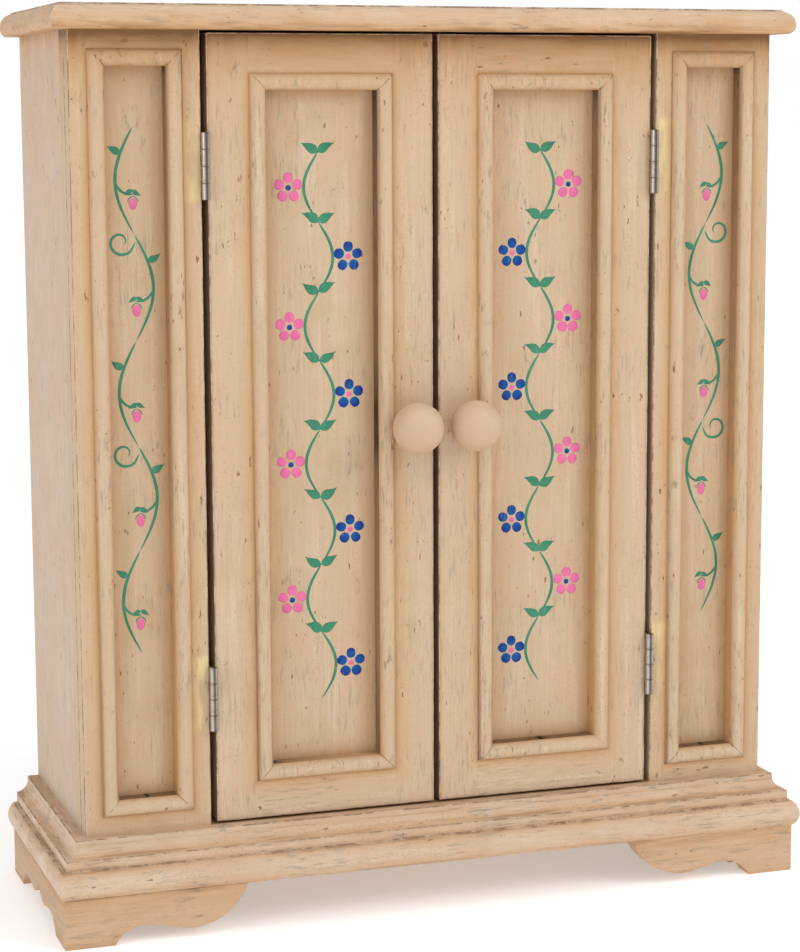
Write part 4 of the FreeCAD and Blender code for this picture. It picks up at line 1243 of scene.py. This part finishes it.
def stitched(piece, rest, low, high):
    """Caps how far each point may move and pulls in the sewn ends and shallow creases."""
    for vert, home in zip(piece.data.vertices, rest):
        move = vert.co - home
        if move.length > ROLL_CAP:
            move.length = ROLL_CAP
        place = home + move
        end = min(place.x - low.x, high.x - place.x)
        nip = math.exp(-((end - SEAM_INSET) / SEAM_WIDTH) ** 2) * SEAM_DEPTH
        wave = math.sin(place.x * 260.0) * math.sin(place.x * 97.0 + 1.0) * CREASE_DEPTH
        top = min(max((place.z - low.z) / (high.z - low.z), 0.0), 1.0)
        place.z -= (nip + max(wave, 0.0)) * top
        vert.co = place
        vert.co.z = min(max(vert.co.z, low.z), high.z - 0.1 * MM)


class CABINET_OT_flowers(Maker):
    """Paints the vines, leaves, buds and blossoms on the four panels"""

    bl_idname = "cabinet.flowers"
    bl_label = "Painted flowers"

    def execute(self, context):
        flowers = look("cabinet_flowers")
        tree = stroke_nodes()
        kinds = {
            "vines": ("vine_green", flowers.vine_width, 0.42, 0.85, 26),
            "leaves": ("leaf_green", MM, 1.2, 0.66, 11),
            "buds": ("petal_pink", MM, 0.48, 0.9, 10),
            "petals": ("petal_pink", MM, 0.34, 1.0, 12),
            "blue_petals": ("petal_blue", MM, 0.34, 1.0, 12),
        }
        for number, (panel, design, hand) in enumerate(MOTIFS):
            low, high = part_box(f"{panel}_moulding")
            half = (high[0] - low[0]) / 2 - BEAD_WIDTH
            tall = high[2] - low[2] - 2 * BEAD_WIDTH
            motif = Motif(random.Random(look("cabinet_stage").seed + number), hand)
            design(motif, half / MM, tall / MM)
            for kind, (finish, width, fineness, belly, steps) in kinds.items():
                strokes = getattr(motif, kind)
                if not strokes:
                    continue
                values = {
                    "Width": width, "Flatness": flowers.flatness, "Point fineness": fineness,
                    "Belly": belly, "Steps": steps, "Paint": finish_named(finish),
                }
                piece = paint_strokes(tree, f"{panel}_{kind}", strokes, panel, values)
        return {"FINISHED"}


class CABINET_OT_stage(Maker):
    """Sets the pale floor, the soft light and the camera"""

    bl_idname = "cabinet.stage"
    bl_label = "Stage"

    def execute(self, context):
        stage = look("cabinet_stage")
        scene = context.scene
        shape = bmesh.new()
        bmesh.ops.create_grid(shape, x_segments=1, y_segments=1, size=stage.floor_size)
        for vert in shape.verts:
            vert.co.z = CAD_LOW.z - 0.02 * MM
        mesh = bpy.data.meshes.new("floor")
        shape.to_mesh(mesh)
        shape.free()
        coat = Coat("studio_floor", **{
            "Specular IOR Level": 0.1, "Emission Strength": stage.floor_glow,
        })
        cloud = coat.noise(3.0)
        away = ((coat.x * coat.x + coat.y * coat.y) ** 0.5).step(0.3, 2.2)
        glow = coat.blend((0.52, 0.52, 0.52), (1.0, 1.0, 1.0), away)
        coat.tree.links.new(glow.socket, coat.shader.inputs["Emission Color"])
        mesh.materials.append(
            coat.wear(coat.blend((0.90, 0.90, 0.90), (0.93, 0.93, 0.93), cloud), 0.8 + 0.1 * cloud)
        )
        floor = bpy.data.objects.new("floor", mesh)
        scene.collection.objects.link(floor)
        self.light_up(scene, stage)
        self.set_camera(scene, stage)
        scene.view_settings.view_transform = "Standard"
        scene.view_settings.look = "None"
        return {"FINISHED"}

    def light_up(self, scene, stage):
        world = bpy.data.worlds.new("studio")
        world.use_nodes = True
        nodes, links = world.node_tree.nodes, world.node_tree.links
        nodes.clear()
        seen = nodes.new("ShaderNodeBackground")
        seen.inputs["Strength"].default_value = 1.0
        even = nodes.new("ShaderNodeBackground")
        for light in (seen, even):
            light.inputs["Color"].default_value = (1.0, 1.0, 1.0, 1.0)
        even.inputs["Strength"].default_value = stage.daylight
        rays = nodes.new("ShaderNodeLightPath")
        mixed = nodes.new("ShaderNodeMixShader")
        out = nodes.new("ShaderNodeOutputWorld")
        links.new(rays.outputs["Is Camera Ray"], mixed.inputs[0])
        links.new(even.outputs[0], mixed.inputs[1])
        links.new(seen.outputs[0], mixed.inputs[2])
        links.new(mixed.outputs[0], out.inputs[0])
        scene.world = world
        aim = Vector((0.0, 0.0, 0.17))
        for name, place, size, power in (
            ("key", (1.30, -1.40, 1.35), 1.1, stage.key),
            ("overhead", (0.15, -0.35, 2.30), 1.8, stage.overhead),
            ("fill", (-1.9, -0.9, 0.9), 1.3, stage.fill),
        ):
            data = bpy.data.lights.new(name, "AREA")
            data.shape = "SQUARE"
            data.size = size
            data.energy = power
            lamp = bpy.data.objects.new(name, data)
            lamp.location = place
            lamp.rotation_euler = (aim - Vector(place)).to_track_quat("-Z", "Y").to_euler()
            scene.collection.objects.link(lamp)

    def set_camera(self, scene, stage):
        data = bpy.data.cameras.new("camera")
        data.lens = stage.lens
        data.sensor_width = 36.0
        data.clip_start, data.clip_end = 0.05, 60.0
        camera = bpy.data.objects.new("camera", data)
        camera.location = stage.eye
        camera.rotation_mode = "QUATERNION"
        turn = Vector((0, 0, 1))
        heading = Quaternion(turn, -stage.heading)
        tilt = Quaternion((1, 0, 0), math.pi / 2 - stage.pitch)
        roll = Quaternion(turn, stage.roll)
        camera.rotation_quaternion = heading @ tilt @ roll
        scene.collection.objects.link(camera)
        scene.camera = camera


class CABINET_PT_maker(bpy.types.Panel):
    """Lists the pieces and their sizes and colours"""

    bl_idname = "CABINET_PT_maker"
    bl_label = "Jewelry Cabinet"
    bl_space_type = "VIEW_3D"
    bl_region_type = "UI"
    bl_category = "Jewelry Cabinet"

    def draw(self, context):
        for made in OPERATORS:
            self.layout.operator(made.bl_idname)
        for name, group in LOOKS.items():
            box = self.layout.box()
            box.label(text=group.__name__)
            for prop in group.__annotations__:
                box.prop(getattr(context.scene, name), prop)


OPERATORS = (
    CABINET_OT_carcass,
    CABINET_OT_pilasters,
    CABINET_OT_doors,
    CABINET_OT_base,
    CABINET_OT_knobs,
    CABINET_OT_hinges,
    CABINET_OT_fittings,
    CABINET_OT_ring_rolls,
    CABINET_OT_flowers,
    CABINET_OT_stage,
)
CLASSES = (*LOOKS.values(), *OPERATORS, CABINET_PT_maker)


def register():
    for made in CLASSES:
        bpy.utils.register_class(made)
    for name, group in LOOKS.items():
        setattr(bpy.types.Scene, name, PointerProperty(type=group))


def unregister():
    for name in LOOKS:
        delattr(bpy.types.Scene, name)
    for made in reversed(CLASSES):
        bpy.utils.unregister_class(made)


def main():
    register()
    for made in OPERATORS:
        family, name = made.bl_idname.split(".")
        getattr(getattr(bpy.ops, family), name)()


if __name__ == "__main__":
    main()
